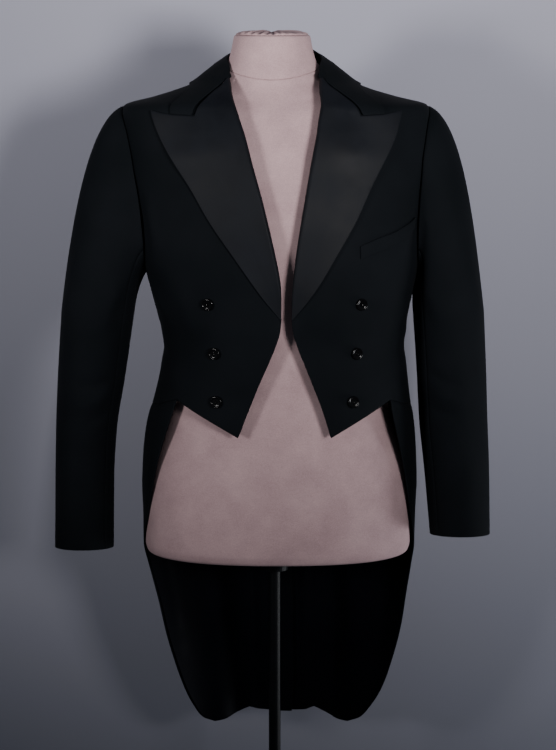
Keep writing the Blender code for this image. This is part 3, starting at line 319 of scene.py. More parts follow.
# On a sleeve an angle of 0 faces the front, 90 is outside and -90 is against the body
SLEEVE_CREASES = (
    Crease(-1, ((-50.0, 1.092), (-10.0, 1.076), (30.0, 1.084)), 0.0100, -0.0028),
    Crease(-1, ((-46.0, 1.064), (-6.0, 1.052), (26.0, 1.040)), 0.0090, 0.0024),
    Crease(-1, ((-60.0, 1.040), (-24.0, 1.030), (8.0, 1.012)), 0.0085, -0.0022),
    Crease(-1, ((150.0, 1.060), (178.0, 1.040), (206.0, 1.046)), 0.0110, 0.0022),
    Crease(-1, ((30.0, 1.300), (48.0, 1.230), (52.0, 1.150)), 0.0180, 0.0022),
    Crease(-1, ((-40.0, 1.228), (-20.0, 1.190), (-12.0, 1.140)), 0.0120, 0.0030),
    Crease(-1, ((16.0, 0.990), (24.0, 0.930), (20.0, 0.870)), 0.0140, 0.0016),
    Crease(-1, ((60.0, 0.940), (66.0, 0.900), (64.0, 0.850)), 0.0130, -0.0010),
    Crease(-1, ((210.0, 1.240), (206.0, 1.170), (198.0, 1.100)), 0.0140, 0.0026),
    Crease(-1, ((-78.0, 1.150), (-70.0, 1.090), (-66.0, 1.030)), 0.0130, 0.0024),
    Crease(1, ((-52.0, 1.100), (-14.0, 1.082), (24.0, 1.074)), 0.0100, -0.0026),
    Crease(1, ((-44.0, 1.070), (-4.0, 1.060), (30.0, 1.054)), 0.0095, 0.0025),
    Crease(1, ((-58.0, 1.044), (-20.0, 1.038), (14.0, 1.026)), 0.0080, -0.0020),
    Crease(1, ((152.0, 1.070), (180.0, 1.052), (208.0, 1.050)), 0.0110, 0.0022),
    Crease(1, ((32.0, 1.290), (46.0, 1.220), (48.0, 1.140)), 0.0170, 0.0020),
    Crease(1, ((-42.0, 1.230), (-24.0, 1.196), (-14.0, 1.150)), 0.0120, 0.0028),
    Crease(1, ((22.0, 1.000), (18.0, 0.950), (24.0, 0.890)), 0.0140, 0.0015),
    Crease(1, ((208.0, 1.236), (204.0, 1.180), (196.0, 1.110)), 0.0140, 0.0024),
    Crease(1, ((-76.0, 1.156), (-70.0, 1.100), (-64.0, 1.040)), 0.0130, 0.0024),
)


def smooth_rows(table: Array, keys: Array) -> Array:
    """Interpolate a table on monotone curves.

    Args:
        table: Rows of a key and its values, in rising order of keys.
        keys: The keys to look up.

    Returns:
        One row of values for each key.
    """
    base, values = table[:, 0], table[:, 1:]
    slopes = np.diff(values, axis=0) / np.diff(base)[:, None]
    tangents = np.zeros_like(values)
    tangents[0], tangents[-1] = slopes[0], slopes[-1]
    low, high = slopes[:-1], slopes[1:]
    same = low * high > 0
    tangents[1:-1] = np.where(same, 2.0 * low * high / np.where(same, low + high, 1.0), 0.0)
    keys = np.clip(keys, base[0], base[-1])
    i = np.clip(np.searchsorted(base, keys) - 1, 0, len(base) - 2)
    span = (base[i + 1] - base[i])[:, None]
    t = (keys - base[i])[:, None] / span
    return ((2 * t**3 - 3 * t**2 + 1) * values[i] + (t**3 - 2 * t**2 + t) * span * tangents[i]
            + (3 * t**2 - 2 * t**3) * values[i + 1] + (t**3 - t**2) * span * tangents[i + 1])


def running(points: Array, axis: int = 0) -> Array:
    """Return the length run so far at each point, along one axis of a path or a grid."""
    steps = np.linalg.norm(np.diff(points, axis=axis), axis=-1)
    start = np.zeros_like(np.take(steps, [0], axis=axis))
    return np.concatenate([start, np.cumsum(steps, axis=axis)], axis=axis)


def trace(marks: Sequence, steps: int, crowd: float = 1.0) -> Array:
    """Spread points along a smooth curve through marks.

    Args:
        marks: Angles and heights that the curve passes.
        steps: How many steps the curve is divided in.
        crowd: Above 1 the points crowd towards the start.

    Returns:
        Angles and heights, one row for each point.
    """
    path = np.array(marks, dtype=float)
    along = running(path * np.array([DEGREE_LENGTH, 1.0]))
    keys = along[-1] * (np.arange(steps + 1) / steps) ** crowd
    return smooth_rows(np.column_stack([along, path]), keys)


def join(*runs: Array) -> Array:
    """Join runs of points end to end, keeping each shared point once."""
    return np.concatenate([runs[0]] + [run[1:] for run in runs[1:]])


def eased(share: Array) -> Array:
    """Return a share from 0 to 1 with a soft start and end."""
    share = np.clip(share, 0.0, 1.0)
    return share * share * (3.0 - 2.0 * share)


def unit(vectors: Array) -> Array:
    """Return vectors at length one."""
    return vectors / np.maximum(np.linalg.norm(vectors, axis=-1, keepdims=True), TINY)


def turned_like(normals: Array, guide: Array) -> Array:
    """Return normals turned to the side that a guide's point to."""
    return normals * np.where(np.sum(normals * guide, axis=-1, keepdims=True) < 0, -1.0, 1.0)


@dataclass(frozen=True)
class Body:
    """A smooth body given by level sections, such as the coat's inner face."""

    sections: tuple

    def values(self, heights: Array) -> Array:
        """Return each height's half width, depths, shifts and power."""
        return smooth_rows(np.array(self.sections), np.ravel(heights))

    @staticmethod
    def radius(turn: Array, half: Array, front: Array, back: Array, power: Array) -> Array:
        """Return how far a level's outline is from its middle, at turns in radians."""
        depth = np.where(np.cos(turn) > 0, front, back)
        reach = (np.abs(np.sin(turn)) / half) ** power + (np.abs(np.cos(turn)) / depth) ** power
        return reach ** (-1.0 / power)

    def point(self, angles: Array, heights: Array, out: float = 0.0) -> Array:
        """Return points of the surface.

        Args:
            angles: Degrees from the centre front, negative on the wearer's right.
            heights: Heights in metres.
            out: How far the points are moved out along the level.

        Returns:
            An array of the same shape with a last axis of x, y and z.
        """
        shape = np.shape(angles)
        turn = np.radians(np.ravel(angles))
        half, front, back, shift, front_shift, power = self.values(heights).T
        radius = self.radius(turn, half, front, back, power) + out
        slide = shift + front_shift * np.maximum(np.cos(turn), 0.0) ** 2
        points = np.stack([slide + radius * np.sin(turn), -radius * np.cos(turn),
                           np.ravel(heights)], axis=-1)
        return points.reshape(*shape, 3)

    def normal(self, angles: Array, heights: Array) -> Array:
        """Return the outward directions at points of the surface."""
        across = (self.point(angles + ANGLE_STEP, heights)
                  - self.point(angles - ANGLE_STEP, heights))
        up = (self.point(angles, heights + HEIGHT_STEP)
              - self.point(angles, heights - HEIGHT_STEP))
        return unit(np.cross(across, up))

    def girths(self, heights: Array, behind: bool) -> Array:
        """Return the lengths round to each whole degree, from the centre front or back."""
        half, front, back, _, _, power = (c[:, None] for c in self.values(heights).T)
        turns = np.radians(DEGREES)[None]
        radius = self.radius(turns, half, front, back, power)
        lengths = running(np.stack([radius * np.sin(turns), -radius * np.cos(turns)], axis=-1), 1)
        return lengths - lengths[:, -1:] if behind else lengths


COAT = Body(COAT_SECTIONS)
FORM = Body(FORM_SECTIONS)


def flattened(edge: Array, behind: bool) -> Array:
    """Turn angles and heights into lengths round the body and heights."""
    rows = COAT.girths(edge[:, 1], behind)
    return np.column_stack([[np.interp(a, DEGREES, row) for a, row in zip(edge[:, 0], rows)],
                            edge[:, 1]])


@dataclass
class Grid:
    """A piece's cloth as a grid of points with outward normals and its cut coordinates."""

    points: Array
    normals: Array
    cut: Array

    def refreshed(self) -> "Grid":
        """Return the grid with normals measured from its own points."""
        across = np.gradient(self.points, axis=1)
        up = np.gradient(self.points, axis=0)
        fresh = turned_like(unit(np.cross(across, up)), self.normals)
        return Grid(self.points, fresh, self.cut)

    def lifted(self, lift: Array) -> "Grid":
        """Return the grid moved along its normals, with fresh normals."""
        return Grid(self.points + self.normals * lift[..., None], self.normals,
                    self.cut).refreshed()

    def reach(self, side: str) -> Array:
        """Return each point's distance over the cloth from one side of the grid."""
        axis = 0 if side in "ns" else 1
        run = running(self.points, axis)
        return np.take(run, [-1], axis=axis) - run if side in "ne" else run

    def pressed(self, seams: str, depth: float = 0.0006, width: float = 0.0028) -> "Grid":
        """Return the grid with the sides that are sewn drawn in a little along the seam."""
        dip = np.zeros(self.points.shape[:2])
        for side in seams:
            dip = np.minimum(dip, -depth * np.exp(-(self.reach(side) / width) ** 2))
        return self.lifted(dip)

    def inset(self, gap: float, sides: str = "nsew") -> "Grid":
        """Return the grid with the points of its border drawn in by a gap."""
        points = self.points.copy()
        for side, edge, near in (("s", 0, 1), ("n", -1, -2)):
            if side in sides:
                points[edge] += gap * unit(self.points[near] - self.points[edge])
        for side, edge, near in (("w", 0, 1), ("e", -1, -2)):
            if side in sides:
                points[:, edge] += gap * unit(self.points[:, near] - self.points[:, edge])
        return Grid(points, self.normals, self.cut)

    def flat_size(self) -> tuple[float, float, float]:
        """Return the cut's width, length and area in metres."""
        across = np.linalg.norm(np.diff(self.points, axis=1), axis=-1).sum(axis=1).max()
        along = np.linalg.norm(np.diff(self.points, axis=0), axis=-1).sum(axis=0).max()
        one = self.points[1:, 1:] - self.points[:-1, :-1]
        two = self.points[1:, :-1] - self.points[:-1, 1:]
        area = 0.5 * np.linalg.norm(np.cross(one, two), axis=-1).sum()
        return float(across), float(along), float(area)


def patch(bottom: Array, top: Array, low: Array, high: Array, sign: int,
          behind: bool = False) -> Grid:
    """Fill a patch of the coat between four edges, flat as the cloth lies.

    Args:
        bottom: The lower edge, running across.
        top: The upper edge, running across.
        low: The first side edge, running up.
        high: The other side edge, running up.
        sign: The wearer's side.
        behind: Whether lengths are taken from the centre back.

    Returns:
        The grid of the patch on the coat's inner face.
    """
    bottom, top, low, high = (flattened(edge, behind) for edge in (bottom, top, low, high))
    v = np.linspace(0.0, 1.0, len(low))[:, None, None]
    u = np.linspace(0.0, 1.0, len(bottom))[None, :, None]
    corners = ((1 - u) * (1 - v) * bottom[0] + u * (1 - v) * bottom[-1]
               + (1 - u) * v * top[0] + u * v * top[-1])
    cut = ((1 - v) * bottom[None] + v * top[None] + (1 - u) * low[:, None]
           + u * high[:, None] - corners)
    rows = COAT.girths(np.ravel(cut[..., 1]), behind)
    angles = np.array([np.interp(length, row, DEGREES)
                       for length, row in zip(np.ravel(cut[..., 0]), rows)])
    angles = sign * angles.reshape(cut.shape[:2])
    points = COAT.point(angles, cut[..., 1])
    return Grid(points, COAT.normal(angles, cut[..., 1]), cut * np.array([sign, 1.0]))


def relief(points: Array, creases: Sequence, path_of: PathOf, steps: int = 14) -> Array:
    """Add up how far creases lift or lower the cloth.

    Args:
        points: The cloth's points.
        creases: The creases that may reach it.
        path_of: A function that turns a crease and a number of steps into a path of points.
        steps: How many steps each crease is divided in.

    Returns:
        The lift at each point.
    """
    flat = points.reshape(-1, 3)
    lift = np.zeros(len(flat))
    for crease in creases:
        path = path_of(crease, steps)
        margin = CREASE_MARGIN * crease.width
        near = np.all((flat > path.min(axis=0) - margin) & (flat < path.max(axis=0) + margin),
                      axis=1)
        spots = flat[near]
        best = np.full(len(spots), np.inf)
        along = np.zeros(len(spots))
        for k in range(steps):
            a, b = path[k], path[k + 1]
            t = np.clip(((spots - a) @ (b - a)) / max((b - a) @ (b - a), TINY), 0.0, 1.0)
            gap = np.sum((spots - a - t[:, None] * (b - a)) ** 2, axis=1)
            closer = gap < best
            best = np.where(closer, gap, best)
            along = np.where(closer, (k + t) / steps, along)
        fade = np.ones(len(spots))
        if not crease.open_start:
            fade *= eased(along / CREASE_FADE)
        if not crease.open_end:
            fade *= eased((1.0 - along) / CREASE_FADE)
        lift[near] += crease.depth * fade * np.exp(-best / crease.width**2)
    return lift.reshape(points.shape[:-1])


def body_path(crease: Crease, steps: int) -> Array:
    """Return a crease's points on the coat."""
    spots = trace(crease.marks, steps)
    return COAT.point(crease.sign * spots[:, 0], spots[:, 1])


def body_relief(points: Array) -> Array:
    """Return how far the coat's own creases move points near its surface."""
    return relief(points, BODY_CREASES, body_path)


def new_object(name: str, mesh: bpy.types.Mesh) -> bpy.types.Object:
    """Link a new object with a mesh, at the origin."""
    item = bpy.data.objects.new(name, mesh)
    bpy.context.scene.collection.objects.link(item)
    return item


def shell(name: str, grid: Grid, low: float, high: float, material: bpy.types.Material,
          bulge: float = 0.0006, rim: int = 3) -> bpy.types.Object:
    """Make a cloth wall with rounded edges from an open grid of points.

    Args:
        name: The piece's name.
        grid: Its points, normals and cut coordinates.
        low: Where the inner face lies, along the normals.
        high: Where the outer face lies.
        material: The cloth's finish.
        bulge: How far the rounded edge stands out.
        rim: How many points round an edge.

    Returns:
        The new object.
    """
    rows, columns = grid.points.shape[:2]
    count = rows * columns
    flat, normals = grid.points.reshape(-1, 3), grid.normals.reshape(-1, 3)
    layers = [flat + normals * high, flat + normals * low]
    index = np.arange(count).reshape(rows, columns)
    border = np.concatenate([index[0], index[1:, -1], index[-1, -2::-1], index[-2:0:-1, 0]])
    j, i = border // columns, border % columns
    inner = (np.clip(j, 1, rows - 2) * columns + np.clip(i, 1, columns - 2))
    outward = flat[border] - flat[inner]
    outward -= normals[border] * np.sum(outward * normals[border], axis=1, keepdims=True)
    outward = unit(outward)
    middle, half = (high + low) / 2, (high - low) / 2
    for k in range(1, rim + 1):
        turn = math.pi * k / (rim + 1)
        layers.append(flat[border] + normals[border] * (middle + half * math.cos(turn))
                      + outward * bulge * math.sin(turn))
    a, b = index[:-1, :-1].ravel(), index[:-1, 1:].ravel()
    c, d = index[1:, 1:].ravel(), index[1:, :-1].ravel()
    faces = [np.column_stack([a, b, c, d]), np.column_stack([d, c, b, a]) + count]
    size = len(border)
    rings = [border] + [2 * count + k * size + np.arange(size) for k in range(rim)]
    rings.append(border + count)
    for upper, lower in zip(rings, rings[1:]):
        faces.append(np.column_stack([upper, lower, np.roll(lower, -1), np.roll(upper, -1)]))
    cut = grid.cut.reshape(-1, 2)
    uv = np.concatenate([cut, cut] + [cut[border]] * rim)
    return from_arrays(name, np.concatenate(layers), np.concatenate(faces), uv, material)


def finished(name: str, mesh: bpy.types.Mesh, material: bpy.types.Material) -> bpy.types.Object:
    """Point a closed mesh's faces out, smooth it, and link it with its finish."""
    work = bmesh.new()
    work.from_mesh(mesh)
    bmesh.ops.recalc_face_normals(work, faces=work.faces)
    if work.calc_volume(signed=True) < 0:
        bmesh.ops.reverse_faces(work, faces=work.faces)
    work.to_mesh(mesh)
    work.free()
    mesh.shade_smooth()
    mesh.materials.append(material)
    return new_object(name, mesh)


def from_arrays(name: str, vertices: Array, faces: Array, uv: Array,
                material: bpy.types.Material) -> bpy.types.Object:
    """Make a smooth closed mesh object from arrays, with a UV map."""
    mesh = bpy.data.meshes.new(name)
    mesh.from_pydata(vertices.tolist(), [], faces.tolist())
    mesh.validate()
    layer = mesh.uv_layers.new(name="UVMap")
    corners = np.empty(len(mesh.loops), dtype=np.int32)
    mesh.loops.foreach_get("vertex_index", corners)
    layer.data.foreach_set("uv", uv[corners].astype(np.float32).ravel())
    return finished(name, mesh, material)


def revolved(rings: Sequence) -> tuple[Array, Array]:
    """Return vertices and quads of a stack of closed rings, with both ends drawn to a point."""
    size = len(rings[0])
    tips = [np.mean(ring, axis=0)[None] for ring in (rings[0], rings[-1])]
    vertices = np.concatenate([np.asarray(ring) for ring in rings] + tips)
    faces = []
    here = np.arange(size)
    for k in range(len(rings) - 1):
        a, b = k * size + here, k * size + np.roll(here, -1)
        faces.append(np.column_stack([a, b, b + size, a + size]))
    return vertices, np.concatenate(faces)


def closed_stack(name: str, rings: Sequence, material: bpy.types.Material) -> bpy.types.Object:
    """Make a closed smooth solid from rings of points, bottom to top."""
    size = len(rings[0])
    vertices, quads = revolved(rings)
    mesh = bpy.data.meshes.new(name)
    last = (len(rings) - 1) * size
    pairs = [(k, (k + 1) % size) for k in range(size)]
    ends = [(b, a, len(vertices) - 2) for a, b in pairs]
    ends += [(last + a, last + b, len(vertices) - 1) for a, b in pairs]
    mesh.from_pydata(vertices.tolist(), [], quads.tolist() + ends)
    return finished(name, mesh, material)


class Recipe:
    """A material's node tree while it is put together."""

    def __init__(self, name: str) -> None:
        """Start an empty material with one Principled shader."""
        self.material = bpy.data.materials.new(name)
        self.material.use_nodes = True
        self.nodes = self.material.node_tree.nodes
        self.links = self.material.node_tree.links
        self.shader = self.nodes["Principled BSDF"]

    def add(self, kind: str, inputs: dict | None = None, **settings) -> bpy.types.Node:
        """Add a node.

        Args:
            kind: The node's type.
            inputs: Values or sockets for its inputs, by name or number.
            settings: Properties of the node.

        Returns:
            The new node.
        """
        node = self.nodes.new(kind)
        for key, value in settings.items():
            setattr(node, key, value)
        self.feed(node, inputs or {})
        return node

    def feed(self, node: bpy.types.Node, inputs: dict) -> None:
        """Set a node's inputs to values, or link sockets to them."""
        for key, value in inputs.items():
            if isinstance(value, bpy.types.NodeSocket):
                self.links.new(value, node.inputs[key])
            else:
                node.inputs[key].default_value = value

    def noise(self, vector: bpy.types.NodeSocket, scale: float, detail: float = 3.0,
              roughness: float = 0.55) -> bpy.types.NodeSocket:
        """Add a noise pattern and return its value."""
        return self.add("ShaderNodeTexNoise", {"Vector": vector, "Scale": scale,
                                               "Detail": detail, "Roughness": roughness}
                        ).outputs["Fac"]

    def stretched(self, source: str, scale: tuple, turn: float = 0.0) -> bpy.types.NodeSocket:
        """Return object or UV coordinates, scaled and turned."""
        coordinates = self.add("ShaderNodeTexCoord").outputs[source]
        return self.add("ShaderNodeMapping", {"Vector": coordinates, "Scale": scale,
                                              "Rotation": (0.0, 0.0, turn)}).outputs["Vector"]

    def bands(self, vector: bpy.types.NodeSocket, pitch: float, direction: str,
              distortion: float = 0.0) -> bpy.types.NodeSocket:
        """Add sine bands at a pitch in metres and return their value."""
        return self.add("ShaderNodeTexWave", {
            "Vector": vector, "Scale": 2 * math.pi / (20.0 * pitch), "Distortion": distortion,
            "Detail": 1.0, "Detail Scale": 1.0}, bands_direction=direction).outputs["Fac"]

    def maths(self, operation: str, a: bpy.types.NodeSocket,
              b: bpy.types.NodeSocket | float) -> bpy.types.NodeSocket:
        """Combine two values."""
        return self.add("ShaderNodeMath", {0: a, 1: b}, operation=operation).outputs[0]

    def ranged(self, value: bpy.types.NodeSocket, low: float, high: float, start: float = 0.0,
               end: float = 1.0) -> bpy.types.NodeSocket:
        """Map a value from one range to another."""
        return self.add("ShaderNodeMapRange", {"Value": value, "From Min": start,
                                               "From Max": end, "To Min": low, "To Max": high}
                        ).outputs["Result"]

    def mixed(self, factor: bpy.types.NodeSocket, first: tuple, second: tuple
              ) -> bpy.types.NodeSocket:
        """Mix two colours."""
        return self.add("ShaderNodeMix", {0: factor, 6: (*first, 1.0), 7: (*second, 1.0)},
                        data_type="RGBA").outputs[2]

    def bumped(self, height: bpy.types.NodeSocket, strength: float, distance: float) -> None:
        """Give the shader a bump of a height pattern."""
        bump = self.add("ShaderNodeBump", {"Height": height, "Strength": strength,
                                           "Distance": distance})
        self.feed(self.shader, {"Normal": bump.outputs["Normal"]})


@dataclass(frozen=True)
class WoolFinish:
    """Fine black barathea: a close broken weave with a soft nap."""

    name: str = "black_barathea"
    dark: tuple = (0.0028, 0.0040, 0.0052)
    light: tuple = (0.0064, 0.0077, 0.0100)
    pitch: float = 0.00055

    def make(self) -> bpy.types.Material:
        """Build the wool's material."""
        r = Recipe(self.name)
        thread = r.stretched("UV", (1.0, 1.0, 1.0))
        across = r.bands(thread, self.pitch, "X", 0.6)
        along = r.bands(thread, self.pitch * 0.8, "Y", 0.6)
        rib = r.bands(r.stretched("UV", (1.0, 1.0, 1.0), math.radians(62.0)), self.pitch * 2.6,
                      "X", 1.2)
        weave = r.maths("ADD", r.maths("MULTIPLY", across, along), r.maths("MULTIPLY", rib, 0.6))
        place = r.stretched("Object", (1.0, 1.0, 1.0))
        cloud = r.noise(place, 9.0, 2.0)
        nap = r.noise(place, 900.0, 4.0, 0.7)
        tone = r.maths("ADD", r.maths("MULTIPLY", cloud, 0.6), r.maths("MULTIPLY", nap, 0.4))
        colour = r.mixed(r.ranged(tone, 0.0, 1.0, 0.3, 0.7), self.dark, self.light)
        r.feed(r.shader, {"Base Color": colour, "Roughness": r.ranged(nap, 0.66, 0.86),
                          "Sheen Weight": 0.006, "Sheen Roughness": 0.45,
                          "Specular IOR Level": 0.045})
        r.bumped(r.maths("ADD", r.maths("MULTIPLY", weave, 0.5), nap), 0.35, 0.00025)
        return r.material


@dataclass(frozen=True)
class SatinFinish:
    """Silk satin: fine threads run along the piece and draw the light out across them."""

    name: str
    dark: tuple
    light: tuple
    low: float
    high: float
    gloss: float

    def make(self) -> bpy.types.Material:
        """Build the satin's material."""
        r = Recipe(self.name)
        threads = r.noise(r.stretched("UV", (5200.0, 260.0, 1.0)), 1.0, 2.0)
        place = r.stretched("Object", (1.0, 1.0, 1.0))
        cloud = r.noise(place, 14.0, 3.0)
        tone = r.maths("ADD", r.maths("MULTIPLY", threads, 0.35),
                       r.maths("MULTIPLY", cloud, 0.65))
        r.feed(r.shader, {
            "Base Color": r.mixed(r.ranged(tone, 0.0, 1.0, 0.3, 0.7), self.dark, self.light),
            "Roughness": r.ranged(cloud, self.low, self.high, 0.3, 0.7),
            "Anisotropic": 0.35, "Specular IOR Level": self.gloss})
        r.bumped(r.maths("ADD", threads, r.maths("MULTIPLY", r.noise(place, 60.0, 2.0), 1.5)),
                 0.16, 0.0003)
        return r.material


@dataclass(frozen=True)
class JerseyFinish:
    """The form's cover: a heathered knit of pale and darker yarn."""

    name: str = "heathered_jersey"
    pale: tuple = (0.530, 0.372, 0.384)
    deep: tuple = (0.345, 0.232, 0.248)
    pitch: float = 0.0011

    def make(self) -> bpy.types.Material:
        """Build the jersey's material."""
        r = Recipe(self.name)
        place = r.stretched("Object", (1.0, 1.0, 1.0))
        flecks = r.noise(r.stretched("Object", (620.0, 620.0, 900.0)), 1.0, 3.0, 0.7)
        cloud = r.noise(place, 22.0, 4.0)
        slub = r.noise(r.stretched("Object", (110.0, 110.0, 340.0)), 1.0, 3.0)
        tone = r.maths("ADD", r.maths("MULTIPLY", flecks, 0.56), r.maths("MULTIPLY", cloud, 0.38))
        tone = r.maths("ADD", tone, r.maths("MULTIPLY", slub, 0.08))
        knit = r.bands(place, self.pitch, "Z", 0.8)
        wale = r.bands(place, self.pitch * 1.3, "X", 0.8)
        r.feed(r.shader, {
            "Base Color": r.mixed(r.ranged(tone, 0.0, 1.0, 0.34, 0.66), self.deep, self.pale),
            "Roughness": r.ranged(flecks, 0.86, 0.98), "Sheen Weight": 0.03,
            "Sheen Roughness": 0.6, "Specular IOR Level": 0.12})
        loops = r.maths("ADD", r.maths("MULTIPLY", knit, wale), flecks)
        r.bumped(loops, 0.3, 0.0003)
        return r.material


@dataclass(frozen=True)
class GlossFinish:
    """A hard dark finish: a button's, a thread's or the stand's enamel."""

    name: str
    dark: tuple
    light: tuple
    low: float
    high: float
    grain: float
    gloss: float = 0.3

    def make(self) -> bpy.types.Material:
        """Build the hard finish's material."""
        r = Recipe(self.name)
        place = r.stretched("Object", (1.0, 1.0, 1.0))
        cloud = r.noise(place, self.grain, 3.0)
        fine = r.noise(place, self.grain * 9.0, 3.0)
        r.feed(r.shader, {
            "Base Color": r.mixed(cloud, self.dark, self.light),
            "Roughness": r.ranged(fine, self.low, self.high, 0.3, 0.7),
            "Specular IOR Level": self.gloss})
        r.bumped(fine, 0.08, 0.0002)
        return r.material


@dataclass
class Cloakroom:
    """The finishes that the pieces share."""

    wool: bpy.types.Material = field(init=False)
    satin: bpy.types.Material = field(init=False)
    lining: bpy.types.Material = field(init=False)
    jersey: bpy.types.Material = field(init=False)
    button: bpy.types.Material = field(init=False)
    thread: bpy.types.Material = field(init=False)
    enamel: bpy.types.Material = field(init=False)

    def __post_init__(self) -> None:
        """Make each finish once."""
        self.wool = WoolFinish().make()
        self.satin = SatinFinish("black_silk_satin", (0.0030, 0.0036, 0.0054),
                                 (0.0084, 0.0100, 0.0138), 0.52, 0.64, 0.105).make()
        self.lining = SatinFinish("black_lining_satin", (0.0010, 0.0014, 0.0030),
                                  (0.0024, 0.0030, 0.0056), 0.50, 0.64, 0.038).make()
        self.jersey = JerseyFinish().make()
        self.button = GlossFinish("black_button", (0.0014, 0.0014, 0.0017),
                                  (0.0030, 0.0030, 0.0035), 0.09, 0.14, 120.0, 0.30).make()
        self.thread = GlossFinish("black_silk_thread", (0.0020, 0.0026, 0.0034),
                                  (0.0056, 0.0064, 0.0080), 0.45, 0.65, 900.0, 0.15).make()
        self.enamel = GlossFinish("black_enamel", (0.0022, 0.0028, 0.0036),
                                  (0.0042, 0.0050, 0.0062), 0.34, 0.48, 60.0, 0.14).make()


def settle(piece: bpy.types.Object, nodes: Sequence[str]) -> bpy.types.Object:
    """Put a piece on the object's one body in place of its nodes, which are hidden."""
    if nodes:
        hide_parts(*nodes)
    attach(piece, "root")
    return piece


def declare(piece: bpy.types.Object, grid: Grid) -> None:
    """Log a piece's cut: its own flat width and length, rounded up, and its area."""
    across, along, area = grid.flat_size()
    width, length = (round(size + HALF_MILLIMETRE, 3) for size in (across, along))
    area = min(max(area, LEAST_FILL * width * length), width * length)
    LOG.info("%s cut %.0f x %.0f mm, %.0f cm2", piece.name, width * 1000, length * 1000,
             area * 10000)


class StitchRow:
    """Rows of small hand stitches that follow a path, made by one node tree."""

    tree: bpy.types.NodeTree | None = None
    keys: dict = {}

    @classmethod
    def prepare(cls, thread: bpy.types.Material) -> None:
        """Build the node tree: stitches set at a spacing along a path.

        Args:
            thread: The finish of the stitches.
        """
        tree = bpy.data.node_groups.new("hand_stitches", "GeometryNodeTree")
        face = tree.interface
        face.new_socket(name="Path", in_out="INPUT", socket_type="NodeSocketGeometry")
        for name, value in (("Spacing", 0.004), ("Length", 0.0016), ("Thickness", 0.0004)):
            socket = face.new_socket(name=name, in_out="INPUT", socket_type="NodeSocketFloat")
            socket.default_value = value
            cls.keys[name] = socket.identifier
        face.new_socket(name="Stitches", in_out="OUTPUT", socket_type="NodeSocketGeometry")
        nodes, links = tree.nodes, tree.links
        start, end = nodes.new("NodeGroupInput"), nodes.new("NodeGroupOutput")
        curve = nodes.new("GeometryNodeMeshToCurve")
        spread = nodes.new("GeometryNodeResampleCurve")
        spread.mode = "LENGTH"
        bead = nodes.new("GeometryNodeMeshUVSphere")
        for name, value in (("Segments", 8), ("Rings", 6), ("Radius", 0.5)):
            bead.inputs[name].default_value = value
        sized = nodes.new("GeometryNodeTransform")
        scale = nodes.new("ShaderNodeCombineXYZ")
        tangent = nodes.new("GeometryNodeInputTangent")
        turn = nodes.new("FunctionNodeAlignRotationToVector")
        turn.axis = "Z"
        placed = nodes.new("GeometryNodeInstanceOnPoints")
        whole = nodes.new("GeometryNodeRealizeInstances")
        finish = nodes.new("GeometryNodeSetMaterial")
        finish.inputs["Material"].default_value = thread
        for source, given, target, taken in (
                (start, "Path", curve, "Mesh"), (curve, "Curve", spread, "Curve"),
                (start, "Spacing", spread, "Length"), (start, "Thickness", scale, "X"),
                (start, "Thickness", scale, "Y"), (start, "Length", scale, "Z"),
                (bead, "Mesh", sized, "Geometry"), (scale, "Vector", sized, "Scale"),
                (tangent, "Tangent", turn, "Vector"), (spread, "Curve", placed, "Points"),
                (sized, "Geometry", placed, "Instance"), (turn, "Rotation", placed, "Rotation"),
                (placed, "Instances", whole, "Geometry"), (whole, "Geometry", finish, "Geometry"),
                (finish, "Geometry", end, "Stitches")):
            links.new(source.outputs[given], target.inputs[taken])
        cls.tree = tree

    @classmethod
    def sew(cls, name: str, paths: Sequence[Array], spacing: float = 0.0042,
            length: float = 0.0017, thickness: float = 0.00042) -> bpy.types.Object:
        """Sew rows of stitches along paths.

        Args:
            name: The piece's name.
            paths: One array of points for each row.
            spacing: The distance between stitches.
            length: The length of a stitch.
            thickness: The thread's thickness.

        Returns:
            The stitches as one plain mesh object.
        """
        vertices, edges = [], []
        for path in paths:
            base = len(vertices)
            vertices += [tuple(p) for p in path]
            edges += [(base + k, base + k + 1) for k in range(len(path) - 1)]
        mesh = bpy.data.meshes.new(f"{name}_path")
        mesh.from_pydata(vertices, edges, [])
        guide = new_object(f"{name}_path", mesh)
        modifier = guide.modifiers.new("stitches", "NODES")
        modifier.node_group = cls.tree
        for key, value in (("Spacing", spacing), ("Length", length), ("Thickness", thickness)):
            modifier[cls.keys[key]] = value
        graph = bpy.context.evaluated_depsgraph_get()
        result = bpy.data.meshes.new_from_object(guide.evaluated_get(graph))
        bpy.data.objects.remove(guide, do_unlink=True)
        result.name = name
        result.shade_smooth()
        return new_object(name, result)


def offset_path(grid: Grid, side: str, distance: float, rise: float, start: float = 0.0,
                end: float = 1.0) -> Array:
    """Return a path on the cloth at a distance from one side of its grid.

    Args:
        grid: The piece's grid.
        side: The side of the grid, one of n, s, e and w.
        distance: How far in from that side the path runs.
        rise: How far along the normals it lies.
        start: Where the path starts along the side, from 0 to 1.
        end: Where it ends.

    Returns:
        The path's points.
    """
    far = grid.reach(side)
    points = grid.points + grid.normals * rise
    lines = range(far.shape[1]) if side in "ns" else range(far.shape[0])
    lines = list(lines)[int(start * (len(lines) - 1)):int(end * (len(lines) - 1)) + 1]
    path = []
    for k in lines:
        run = far[:, k] if side in "ns" else far[k]
        spots = points[:, k] if side in "ns" else points[k]
        order = np.argsort(run)
        path.append([np.interp(distance, run[order], spots[order, axis]) for axis in range(3)])
    return np.array(path)


